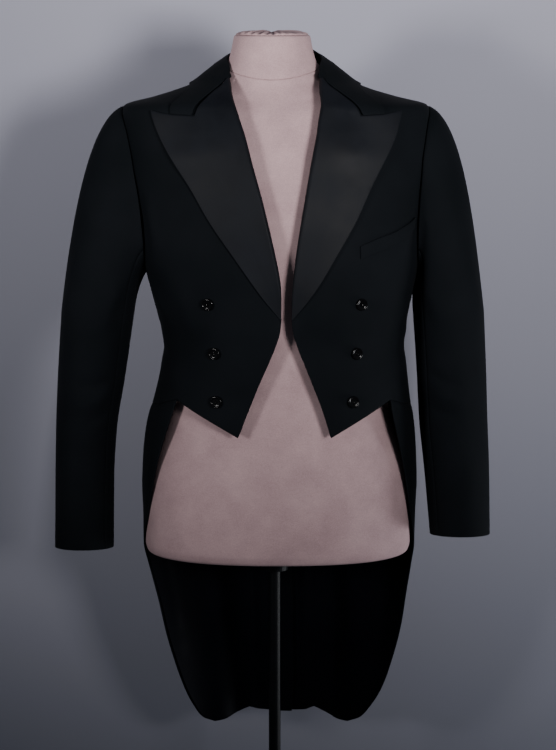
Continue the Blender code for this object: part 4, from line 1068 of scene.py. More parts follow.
@dataclass
class Foreparts:
    """The two fronts, cut away at the waist, with their points and rounded edges."""

    bulge: float = 0.0007
    stitch_in: float = 0.0030
    edge_sewn: float = 0.42
    hem_sewn: float = 0.56

    def grid(self, side: Side) -> Grid:
        """Return a forepart's grid."""
        k = DETAIL
        bottom = join(trace(FRONT_HEM, HEM_STEPS * k), trace(WAIST_FRONT, WAIST_STEPS * k))
        neck = HEM_STEPS + WAIST_STEPS - SHOULDER_STEPS
        top = join(trace(NECK_FRONT, neck * k), trace(SHOULDER_SEAM, SHOULDER_STEPS * k))
        edge = trace(FRONT_EDGE, (SIDE_ROWS + ARMHOLE_ROWS) * k)
        outer = join(trace(SIDE_SEAM, SIDE_ROWS * k), trace(ARMHOLE_FRONT, ARMHOLE_ROWS * k))
        grid = patch(bottom, top, edge, outer, side.value)
        return grid.lifted(body_relief(grid.points)).pressed("e")

    def build(self, side: Side, room: Cloakroom) -> bpy.types.Object:
        """Build a forepart and its edge stitches."""
        grid = self.grid(side).inset(SEAM / 2 + self.bulge)
        piece = shell(f"forepart_{side.word}", grid, 0.0, CLOTH, room.wool, self.bulge)
        settle(piece, [f"front_{side.word}"])
        declare(piece, grid)
        rows = [offset_path(grid, edge, self.stitch_in, CLOTH, 0.0, end)
                for edge, end in (("w", self.edge_sewn), ("s", self.hem_sewn))]
        stitches = StitchRow.sew(f"edge_stitches_{side.word}", rows)
        settle(stitches, [])
        return piece


@dataclass
class SideBodies:
    """The panels under the arms, between the foreparts and the backs."""

    bulge: float = 0.0005

    def build(self, side: Side, room: Cloakroom) -> bpy.types.Object:
        """Build a side body."""
        k = DETAIL
        grid = patch(trace(WAIST_BACK, ARMPIT_STEPS * k), trace(ARMHOLE_LOW, ARMPIT_STEPS * k),
                     trace(SIDE_SEAM, SIDE_ROWS * k), trace(BACK_SEAM, SIDE_ROWS * k),
                     side.value, True)
        grid = grid.lifted(body_relief(grid.points)).pressed("esw")
        grid = grid.inset(SEAM / 2 + self.bulge)
        piece = shell(f"underarm_panel_{side.word}", grid, 0.0, CLOTH, room.wool, self.bulge)
        settle(piece, [f"side_body_{side.word}"])
        declare(piece, grid)
        return piece


@dataclass(frozen=True)
class VentLap:
    """The right tail's centre edge, which runs on under the left one below the waist."""

    top: float = 1.062
    fade: float = 0.050
    width: float = 0.016
    step_in: float = 0.0052
    step_width: float = 0.006

    def laid_under(self, grid: Grid, side: Side) -> Grid:
        """Return the right tail's grid with its centre edge carried under the left tail."""
        if side is Side.LEFT:
            return grid
        points = grid.points
        fade = eased((self.top - points[:, :1, 2:]) / self.fade)
        u = np.linspace(0.0, 1.0, points.shape[1])[None, :, None]
        beyond = unit(points[:, :1] - points[:, 1:2])
        moved = points + beyond * self.width * fade * (1.0 - u) ** 5
        past = np.sum((moved - points[:, :1]) * beyond, axis=-1, keepdims=True)
        under = eased((past + self.step_width) / self.step_width)
        moved = moved - grid.normals * self.step_in * under * fade
        return Grid(moved, grid.normals, grid.cut).refreshed()


@dataclass
class Backs:
    """The two backs from neck to tail hem, with an open vent between the tails."""

    bulge: float = 0.0005
    lap: VentLap = VentLap()

    def build(self, side: Side, room: Cloakroom) -> bpy.types.Object:
        """Build one back with its tail piece."""
        k = DETAIL
        steps = (NECK_STEPS + SHOULDER_STEPS) * k
        rows = (SIDE_ROWS + ARMHOLE_ROWS) * k
        outer = join(trace(BACK_SEAM, SIDE_ROWS * k), trace(ARMHOLE_BACK, ARMHOLE_ROWS * k))
        waist = trace(BACK_WAIST, steps)
        top = join(trace(NECK_BACK, NECK_STEPS * k), trace(SHOULDER_SEAM, SHOULDER_STEPS * k))
        upper = patch(waist, top, trace(BACK_CENTRE, rows), outer, side.value, True)
        lower = patch(trace(TAIL_HEM[::-1], steps), waist,
                      trace(TAIL_CENTRE, TAIL_ROWS * k, TAIL_CROWD),
                      trace(TAIL_SEAM, TAIL_ROWS * k, TAIL_CROWD), side.value, True)
        grid = Grid(*(np.concatenate([getattr(lower, part), getattr(upper, part)[1:]])
                      for part in ("points", "normals", "cut")))
        grid = self.lap.laid_under(grid.lifted(body_relief(grid.points)), side).pressed("ew")
        grid = grid.inset(SEAM / 2 + self.bulge)
        piece = shell(f"back_and_tail_{side.word}", grid, 0.0, CLOTH, room.wool, self.bulge)
        settle(piece, [f"back_{side.word}"])
        declare(piece, grid)
        return piece


@dataclass
class Skirts:
    """The tails' side pieces below the waist seam, and the satin that lines them."""

    bulge: float = 0.0005
    lined_rows: int = 9
    lining_inset: float = 0.0020

    def grid(self, side: Side) -> Grid:
        """Return a skirt's grid, with its folds."""
        k = DETAIL
        top = join(trace(WAIST_FRONT, WAIST_STEPS * k), trace(WAIST_BACK, ARMPIT_STEPS * k))
        steps = len(top) - 1
        grid = patch(trace(SKIRT_HEM, steps), top, trace(SKIRT_EDGE, TAIL_ROWS * k, TAIL_CROWD),
                     trace(TAIL_SEAM, TAIL_ROWS * k, TAIL_CROWD), side.value, True)
        return grid.lifted(body_relief(grid.points))

    def build(self, side: Side, room: Cloakroom) -> bpy.types.Object:
        """Build a skirt and its lining."""
        whole = self.grid(side)
        grid = whole.pressed("en").inset(SEAM / 2 + self.bulge)
        piece = shell(f"tail_skirt_{side.word}", grid, 0.0, CLOTH, room.wool, self.bulge)
        settle(piece, [f"skirt_{side.word}"])
        declare(piece, grid)
        rows = self.lined_rows * DETAIL + 1
        low = Grid(whole.points[:rows], whole.normals[:rows], whole.cut[:rows])
        low = low.inset(self.lining_inset, "nsw").inset(SEAM, "e")
        lining = shell(f"skirt_satin_{side.word}", low, -LINING - LAYER, -LAYER, room.lining,
                       0.0004)
        settle(lining, [f"skirt_lining_{side.word}"])
        declare(lining, low)
        return piece


@dataclass
class TailLinings:
    """The satin inside the narrow tail pieces, below the form."""

    rows: int = 9
    steps: int = 4
    inset: float = 0.0016
    lap: VentLap = VentLap()

    def build(self, side: Side, room: Cloakroom) -> bpy.types.Object:
        """Build one tail's lining."""
        k = DETAIL
        high = self.rows * k + 1
        seam = trace(TAIL_SEAM, TAIL_ROWS * k, TAIL_CROWD)[:high]
        centre = trace(TAIL_CENTRE, TAIL_ROWS * k, TAIL_CROWD)[:high]
        steps = self.steps * k * 2
        grid = patch(trace(TAIL_HEM[::-1], steps), np.linspace(centre[-1], seam[-1], steps + 1),
                     centre, seam, side.value, True)
        grid = self.lap.laid_under(grid.lifted(body_relief(grid.points)), side)
        grid = grid.inset(self.inset, "nsw").inset(SEAM, "e")
        piece = shell(f"tail_satin_{side.word}", grid, -LINING - LAYER, -LAYER, room.lining,
                      0.0004)
        settle(piece, [f"tail_lining_{side.word}"])
        declare(piece, grid)
        return piece


@dataclass
class Lapels:
    """Peaked satin lapels, rolled over the front edge and laid on the chest."""

    rows: int = 150
    columns: int = 66
    roll: tuple = ((0.0027, 0.00), (0.0034, 0.06), (0.0040, 0.16), (0.0043, 0.30),
                   (0.0043, 0.45), (0.0039, 0.60), (0.0031, 0.74), (0.0021, 0.86),
                   (0.0010, 0.95))
    roll_bottom: float = -0.0010
    crown: float = 0.0030
    crown_fall: float = 3.0
    crown_from: float = 0.08
    crown_power: float = 0.7
    edge_lift: float = 0.0006
    stand_off: float = 0.0005
    taper: float = 0.16
    shy: float = 0.0009
    stitch_in: float = 0.0026
    sewn: tuple = (0.03, 0.985)

    def grid(self, side: Side) -> Grid:
        """Return a lapel's grid, from the roll round the front edge to its outer edge."""
        base = patch(trace(BREAK_LINE, self.columns), trace(LAPEL_TOP, self.columns),
                     trace(ROLL_LINE, self.rows), trace(LAPEL_EDGE, self.rows), side.value)
        u = np.linspace(0.0, 1.0, self.columns + 1)[None]
        v = np.linspace(0.0, 1.0, self.rows + 1)[:, None]
        ease = eased(v / self.taper)
        height = CLOTH + SATIN / 2 + SEAM + (LAYER + self.stand_off) * ease
        lift = height + self.crown * np.exp(-self.crown_fall * u) * ease * np.sin(
            math.pi * np.minimum(v + self.crown_from, 1.0)) ** self.crown_power
        lift = lift + self.edge_lift * u**6 * ease
        sheet = base.points + base.normals * lift[..., None]
        outward = unit(base.points[:, :1] - base.points[:, 3:4])
        top = lift[:, :1, None]
        ease = ease[..., None]
        bottom = self.roll_bottom * ease + (CLOTH + SEAM) * (1.0 - ease)
        strips = [base.points[:, :1] + outward * (reach * ease - self.shy * (1.0 - ease))
                  + base.normals[:, :1] * (bottom + (top - bottom) * share)
                  for reach, share in self.roll]
        points = np.concatenate(strips + [sheet], axis=1)
        points[-1, :, 2] -= SEAM
        normals = np.concatenate([base.normals[:, :1]] * len(strips) + [base.normals], axis=1)
        run = running(points, 1)
        climb = running(points[:, len(strips)])[:, None] + np.zeros_like(run)
        return Grid(points, normals, np.stack([run * side.value, climb], axis=-1)).refreshed()

    def build(self, side: Side, room: Cloakroom) -> bpy.types.Object:
        """Build a lapel and the stitches along its edge."""
        grid = self.grid(side)
        grid = grid.lifted(relief(grid.points, LAPEL_CREASES, body_path))
        piece = shell(f"satin_lapel_{side.word}", grid, -SATIN / 2, SATIN / 2, room.satin, 0.0007,
                      4)
        settle(piece, [f"lapel_{side.word}"])
        declare(piece, grid)
        rows = [offset_path(grid, "e", self.stitch_in, SATIN / 2, *self.sewn)]
        stitches = StitchRow.sew(f"lapel_stitches_{side.word}", rows)
        settle(stitches, [])
        return piece


@dataclass
class Collar:
    """The collar: a stand inside the neck, a rolled fold, and the fall on the shoulders."""

    steps: int = 110
    fall_rows: int = 10
    fine_rows: int = 42
    tuck: float = 0.004
    tuck_below: float = 1.52
    tuck_fade: float = 0.05
    stand_outs: tuple = (-0.0030, -0.0028, -0.0006, 0.0036)
    hug_shares: tuple = (0.0, 0.6, 1.0, 1.0)
    roll_height: float = 0.0035
    fold_drop: float = 0.0034
    fall_out: float = 0.0029
    end_out: float = 0.0025
    end_share: float = 0.3
    edge_out: float = 0.0012
    hug: float = 0.0030
    hug_from: float = 0.14
    roll_near: float = 0.08
    roll_far: float = 0.36
    stitch_in: float = 0.0026

    def column(self, fold: Array, seam: Array, edge: Array, end: Array, share: float) -> Array:
        """Return one column of the collar, from its seam over the fold to the fall's edge.

        Args:
            fold: The fold's angle and height.
            seam: The neck seam's angle and height.
            edge: The fall's edge.
            end: The angles and heights that the collar's end is drawn to.
            share: How far this column is from the end, from 0 to 1.

        Returns:
            The column's main points.
        """
        a, h = fold
        roll = min(h - seam[1], self.roll_height)
        angles = [seam[0], a, a, a]
        heights = [seam[1], h - roll, h, h - self.fold_drop]
        far = eased(np.array([share / self.hug_from]))[0]
        hug = self.hug * far
        outs = [out - part * hug for out, part in zip(self.stand_outs, self.hug_shares)]
        points = [COAT.point(np.array([x]), np.array([z]), out)[0]
                  for x, z, out in zip(angles, heights, outs)]
        t = np.arange(1, self.fall_rows + 1)[:, None] / self.fall_rows
        straight = (1 - t) * fold + t * edge
        spots = straight + (end[1:, :2] - end[1:, 2:]) * (1 - share) ** 5
        fall = COAT.point(spots[:, 0], spots[:, 1])
        out = self.end_out + (self.fall_out - self.end_out) * min(share / self.end_share, 1.0)
        out = out + (self.edge_out - out) * t**3
        rolled = eased(t / (self.roll_near + (self.roll_far - self.roll_near) * far))
        reach = outs[3] + (CLOTH + LAYER + out - outs[3]) * rolled
        fall = fall + COAT.normal(spots[:, 0], spots[:, 1]) * reach
        return np.concatenate([points, fall])

    def build(self, room: Cloakroom) -> bpy.types.Object:
        """Build the collar and its edge stitches."""
        fold, seam = trace(COLLAR_FOLD, self.steps), trace(COLLAR_SEAM, self.steps)
        edge = trace(COLLAR_EDGE, self.steps)
        shape = trace(COLLAR_END, self.fall_rows)
        t = np.arange(self.fall_rows + 1)[:, None] / self.fall_rows
        end = np.concatenate([shape, (1 - t) * fold[0] + t * edge[0]], axis=1)
        half = np.array([self.column(fold[i], seam[i], edge[i], end, i / self.steps)
                         for i in range(self.steps + 1)])
        columns = np.concatenate([half, (half * np.array([-1.0, 1.0, 1.0]))[::-1][1:]])
        points = columns.transpose(1, 0, 2)
        shift = np.clip((self.tuck_below - points[..., 2:]) / self.tuck_fade, 0, 1)
        shift = shift * (points[..., 1:2] < 0)
        points = points + np.array([self.tuck, 0.0, 0.0]) * shift
        points = self.smoothed(points)
        grid = self.measured(points)
        piece = shell("folded_collar", grid, -CLOTH / 2 + 0.0001, CLOTH / 2 - 0.0001, room.wool,
                      0.0007, 4)
        settle(piece, ["collar"])
        declare(piece, grid)
        stitches = StitchRow.sew("collar_stitches",
                                 [offset_path(grid, "n", self.stitch_in, CLOTH / 2)])
        settle(stitches, [])
        return piece

    def smoothed(self, points: Array) -> Array:
        """Return the columns with smooth curves through their main points."""
        along = running(points)
        result = np.zeros((self.fine_rows + 1, points.shape[1], 3))
        for k in range(points.shape[1]):
            table = np.column_stack([along[:, k], points[:, k]])
            keys = np.linspace(0.0, along[-1, k], self.fine_rows + 1)
            result[:, k] = smooth_rows(table, keys)
        return result

    @staticmethod
    def measured(points: Array) -> Grid:
        """Return a grid of the points with outward normals and lengths as cut coordinates."""
        normals = unit(np.cross(np.gradient(points, axis=1), np.gradient(points, axis=0)))
        centre = np.array([0.0, 0.0, 1.50])
        out = np.sum(normals[-1] * (points[-1] - centre), axis=-1).mean()
        normals = normals * (1.0 if out > 0 else -1.0)
        return Grid(points, normals, np.stack([running(points, 1), running(points)], axis=-1))


@dataclass
class Sleeves:
    """Two-piece sleeves: a top sleeve outside and an under sleeve inside, with open cuffs."""

    cap_rows: int = 7
    rows: int = 14
    fine: int = 6
    cuff_rise: float = 0.005
    droop: float = 0.35
    droop_below: float = 0.55
    head_gap: float = 0.0006
    head_roll: float = 0.0026
    head_pull: float = 0.17
    foot_pull: float = 0.42
    foot_lean: float = 0.12
    seam_depth: float = 0.0005
    seam_width: float = 0.0026
    seam_share: float = 0.8
    front_seam: int = 2
    hind_seam: int = 2 * ARMHOLE_ROWS - 3
    bulge: float = 0.0005

    def armhole(self, sign: int) -> Array:
        """Return the armhole seam as a closed loop of angles and heights."""
        k = self.fine
        front = trace(ARMHOLE_FRONT, ARMHOLE_ROWS * k)
        low = trace(ARMHOLE_LOW, ARMPIT_STEPS * k)
        back = join(low, trace(ARMHOLE_BACK, ARMHOLE_ROWS * k))[::-1]
        return join(front, back)[:-1] * np.array([sign, 1.0])

    def rings(self, side: Side) -> tuple[Array, Array]:
        """Return a sleeve's rings of points, and each column's turn in degrees."""
        sign = side.value
        loop = self.armhole(sign)
        table = np.array(sorted(SLEEVE_RINGS[side]))
        top = SLEEVE_RINGS[side][0]
        seat = COAT.point(loop[:, 0], loop[:, 1])
        out = COAT.normal(loop[:, 0], loop[:, 1])
        rel = seat - self.seat_middle(sign)
        turns = np.arctan2(rel[:, 2], -rel[:, 1])
        rise, lean = np.sin(turns), np.cos(turns)
        foot = np.stack([sign * (top.middle_x + top.half_width * rise),
                         top.middle_y - top.half_depth * lean,
                         np.full(len(loop), top.height)], axis=1)
        away = unit(np.stack([np.full(len(loop), float(sign)), np.zeros(len(loop)),
                              -self.droop - self.droop_below * np.maximum(-rise, 0.0)],
                             axis=1))
        over = 1.0 - np.clip(0.5 + 0.5 * rise, 0.0, 1.0)
        gap = SEAM + self.head_roll * over + self.head_gap
        start = seat + out * CLOTH / 2 + away * gap[:, None]
        span = np.linalg.norm(foot - start, axis=1)[:, None]
        first = away * span * self.head_pull
        last = np.array([sign * self.foot_lean, 0.0, -1.0]) * span * self.foot_pull
        rings = []
        for row in range(self.cap_rows * self.fine + 1):
            t = row / (self.cap_rows * self.fine)
            rings.append((1 - t) ** 3 * start + 3 * t * (1 - t) ** 2 * (start + first)
                         + 3 * t * t * (1 - t) * (foot - last) + t**3 * foot)
        total = self.rows * self.fine
        for row in range(1, total + 1):
            height = top.height + (table[0, 0] - top.height) * row / total
            mx, my, hw, hd = smooth_rows(table, np.array([height]))[0]
            slope = self.cuff_rise * lean * row / total
            rings.append(np.stack([sign * (mx + hw * rise), my - hd * lean, height + slope],
                                  axis=1))
        return np.array(rings), np.degrees(turns)

    def seat_middle(self, sign: int) -> Array:
        """Return the armhole's middle, from the same coarse loop as the solids."""
        coarse = Sleeves(fine=1).armhole(sign) if self.fine != 1 else self.armhole(sign)
        return COAT.point(coarse[:, 0], coarse[:, 1]).mean(axis=0)

    @staticmethod
    def crease_path(rings: Array, turns: Array) -> PathOf:
        """Return a function that lays a crease's marks on a sleeve."""
        def path_of(crease: Crease, steps: int) -> Array:
            """Return a crease's points on the sleeve."""
            spots = trace(crease.marks, steps)
            path = []
            for turn, height in spots:
                gap = (turns - turn + 180.0) % 360.0 - 180.0
                column = int(np.argmin(np.abs(gap)))
                heights = rings[::-1, column, 2]
                path.append([np.interp(height, heights, rings[::-1, column, axis])
                             for axis in range(3)])
            return np.array(path)
        return path_of

    def grid(self, side: Side) -> Grid:
        """Return the whole sleeve as a grid that closes on itself."""
        rings, turns = self.rings(side)
        loop = np.concatenate([rings, rings[:, :1]], axis=1)
        across = np.roll(rings, -1, axis=1) - np.roll(rings, 1, axis=1)
        normals = unit(np.cross(across, np.gradient(rings, axis=0)))
        centre = rings.mean(axis=1, keepdims=True)
        normals *= np.sign(np.sum(normals * (rings - centre), axis=-1).mean())
        mine = [c for c in SLEEVE_CREASES if c.sign == side.value]
        lift = relief(rings, mine, self.crease_path(rings, turns))
        rings = rings + normals * lift[..., None]
        across = np.roll(rings, -1, axis=1) - np.roll(rings, 1, axis=1)
        fresh = turned_like(unit(np.cross(across, np.gradient(rings, axis=0))), normals)
        cut = np.stack([running(loop, 1)[:, :-1], -running(rings)], axis=-1)
        return Grid(rings, fresh, cut)

    def build(self, side: Side, room: Cloakroom) -> tuple[Grid, Array]:
        """Build one sleeve.

        Returns:
            The sleeve's grid, and the columns of its two seams.
        """
        whole = self.grid(side)
        count = whole.points.shape[1]
        front, hind = self.front_seam * self.fine, self.hind_seam * self.fine
        top = np.arange(front, hind + 1)
        under = np.concatenate([np.arange(hind, count), np.arange(0, front + 1)])
        for word, columns in (("top", top), ("under", under)):
            grid = Grid(whole.points[:, columns], whole.normals[:, columns],
                        whole.cut[:, columns])
            if word == "under":
                grid.cut = self.unbroken(grid)
            grid = grid.pressed("ew", self.seam_depth, self.seam_width)
            grid = grid.inset(self.seam_share * self.bulge, "ew").inset(self.bulge, "ns")
            piece = shell(f"{word}_sleeve_cloth_{side.word}", grid, -CLOTH / 2, CLOTH / 2,
                          room.wool, self.bulge)
            settle(piece, [f"{word}_sleeve_{side.word}"])
            declare(piece, grid)
        return whole, np.array([front, hind])

    @staticmethod
    def unbroken(grid: Grid) -> Array:
        """Return cut coordinates that run on over the place where the rings close."""
        return np.stack([running(grid.points, 1), grid.cut[..., 1]], axis=-1)


@dataclass
class PocketWelt:
    """The breast pocket's welt, with a folded upper edge and sewn ends."""

    columns: int = 96
    rows: int = 22
    edge: float = 0.0006
    stitch_in: float = 0.0018
    spacing: float = 0.0024
    stitch: float = 0.0014

    def build(self, room: Cloakroom) -> bpy.types.Object:
        """Build the welt and the stitches at its ends."""
        low, high = trace(POCKET_LOW, self.columns), trace(POCKET_HIGH, self.columns)
        grid = patch(low, high, trace([POCKET_LOW[0], POCKET_HIGH[0]], self.rows),
                     trace([POCKET_LOW[-1], POCKET_HIGH[-1]], self.rows), 1)
        grid = grid.lifted(body_relief(grid.points)).inset(self.edge)
        rise = 2 * CLOTH + LAYER
        piece = shell("breast_welt", grid, CLOTH + LAYER, rise, room.wool, self.edge)
        settle(piece, ["pocket_welt"])
        declare(piece, grid)
        rows = [offset_path(grid, end, self.stitch_in, rise) for end in "we"]
        stitches = StitchRow.sew("welt_stitches", rows, self.spacing, self.stitch)
        settle(stitches, [])
        return piece


def middle_of(node: str) -> Array:
    """Return the middle of a CAD node's box."""
    low, high = (np.array(corner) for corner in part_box(node))
    return (low + high) / 2


@dataclass
class Buttons:
    """Black four-hole buttons with a raised rim, a sunk middle and crossed thread."""

    radius: float = 0.0088
    height: float = 0.0040
    hole: float = 0.00085
    hole_out: float = 0.0020
    drill_levels: tuple = (-0.001, 0.006)
    drill_sides: int = 18
    sides: int = 56
    crisp: float = 38.0
    cuff_radius: float = 0.0068
    thread_foot: float = 0.0004
    thread_level: float = 0.645
    thread_rise: float = 0.00075
    thread_width: float = 0.00045
    thread_depth: float = 0.00034
    thread_sides: int = 8
    thread_steps: int = 13
    profile: tuple = ((0.30, 0.00), (0.62, 0.00), (0.86, 0.10), (0.97, 0.26), (1.00, 0.46),
                      (0.99, 0.66), (0.955, 0.85), (0.90, 0.96), (0.845, 1.00), (0.79, 0.97),
                      (0.745, 0.89), (0.71, 0.78), (0.66, 0.70), (0.58, 0.66), (0.44, 0.655),
                      (0.22, 0.65))

    @staticmethod
    def circle(radius: float, level: float, sides: int, x: float = 0.0, y: float = 0.0) -> Array:
        """Return a level circle of points."""
        turns = np.linspace(0.0, 2 * math.pi, sides, endpoint=False)
        return np.stack([x + radius * np.cos(turns), y + radius * np.sin(turns),
                         np.full(sides, level)], axis=1)

    def blank(self, room: Cloakroom) -> bpy.types.Mesh:
        """Make one button lying at the origin, its face up."""
        rings = [self.circle(share * self.radius, level * self.height, self.sides)
                 for share, level in self.profile]
        body = closed_stack("button_blank", rings, room.button)
        drills = []
        for k in range(4):
            turn = math.pi / 4 + math.pi / 2 * k
            x, y = self.hole_out * math.cos(turn), self.hole_out * math.sin(turn)
            rings = [self.circle(self.hole, level, self.drill_sides, x, y)
                     for level in self.drill_levels]
            drills.append(closed_stack(f"drill_{k}", rings, room.button))
        for drill in drills:
            cut = body.modifiers.new("hole", "BOOLEAN")
            cut.operation = "DIFFERENCE"
            cut.solver = "EXACT"
            cut.object = drill
        graph = bpy.context.evaluated_depsgraph_get()
        mesh = bpy.data.meshes.new_from_object(body.evaluated_get(graph))
        for item in [body, *drills]:
            bpy.data.objects.remove(item, do_unlink=True)
        work = bmesh.new()
        work.from_mesh(mesh)
        for turn in (math.pi / 4, -math.pi / 4):
            self.add_thread(work, turn)
        work.to_mesh(mesh)
        work.free()
        mesh.materials.clear()
        mesh.materials.append(room.button)
        mesh.materials.append(room.thread)
        mesh.shade_smooth()
        mesh.set_sharp_from_angle(angle=math.radians(self.crisp))
        return mesh

    def add_thread(self, work: bmesh.types.BMesh, turn: float) -> None:
        """Add a bar of thread that arches between two holes and goes down through them."""
        reach, sides = self.hole_out, self.thread_sides
        base = self.thread_level * self.height
        path = [(reach * math.cos(t), 0.0, base + self.thread_rise * math.sin(t) ** 0.6)
                for t in np.linspace(0.0, math.pi, self.thread_steps)]
        path = [(reach, 0.0, self.thread_foot)] + path + [(-reach, 0.0, self.thread_foot)]
        rings = []
        for k, spot in enumerate(path):
            before, after = path[max(k - 1, 0)], path[min(k + 1, len(path) - 1)]
            ahead = Vector(after) - Vector(before)
            side = Vector((0.0, 1.0, 0.0))
            up = ahead.normalized().cross(side)
            ring = []
            for n in range(sides):
                angle = 2 * math.pi * n / sides
                place = Vector(spot) + side * self.thread_width * math.cos(angle)
                ring.append(place + up * self.thread_depth * math.sin(angle))
            rings.append([work.verts.new(Matrix.Rotation(turn, 4, "Z") @ v) for v in ring])
        faces = []
        for low, high in zip(rings, rings[1:]):
            for n in range(sides):
                after = (n + 1) % sides
                faces.append(work.faces.new((low[n], low[after], high[after], high[n])))
        faces.append(work.faces.new(rings[0][::-1]))
        faces.append(work.faces.new(rings[-1]))
        bmesh.ops.recalc_face_normals(work, faces=faces)
        for face in faces:
            face.material_index = 1

    def place(self, name: str, node: str, axis: Array, scale: float, turn: float,
              blank: bpy.types.Mesh) -> bpy.types.Object:
        """Set a button where its node stands.

        Args:
            name: The piece's name.
            node: The CAD node that it replaces.
            axis: The direction that the button faces.
            scale: Its radius against the blank's.
            turn: How far it is turned about its own axis.
            blank: The blank's mesh.

        Returns:
            The button's object.
        """
        centre = middle_of(node) - axis * self.height / 2
        spin = Vector(axis).to_track_quat("Z", "Y").to_matrix().to_4x4()
        size = Matrix.Diagonal((scale, scale, 1.0, 1.0))
        mesh = blank.copy()
        mesh.name = name
        mesh.transform(Matrix.Translation(centre) @ spin @ Matrix.Rotation(turn, 4, "Z") @ size)
        return settle(new_object(name, mesh), [node])

    def build(self, room: Cloakroom, sleeves: dict) -> None:
        """Set all the buttons: six in front, two at the back waist, four at each cuff."""
        blank = self.blank(room)
        for word, stem, count, turn in (("show", "front", 6, 0.35), ("waist", "back", 2, 0.5)):
            for number in range(1, count + 1):
                node = f"{stem}_button_{number}"
                self.place(f"{word}_button_{number}", node, self.facing(node), 1.0,
                           turn * number, blank)
        for side, whole in sleeves.items():
            for number in range(1, 5):
                node = f"cuff_button_{side.word}_{number}"
                gap = np.linalg.norm(whole.points - middle_of(node), axis=-1)
                row, column = np.unravel_index(np.argmin(gap), gap.shape)
                self.place(f"sleeve_button_{side.word}_{number}", node,
                           whole.normals[row, column], self.cuff_radius / self.radius,
                           0.4 * number, blank)

    @staticmethod
    def facing(node: str) -> Array:
        """Return the coat's outward direction where a button's node stands."""
        x, y, z = middle_of(node)
        shift = COAT.values(np.array([z]))[0][3]
        angle = math.degrees(math.atan2(x - shift, -y))
        return COAT.normal(np.array([angle]), np.array([z]))[0]


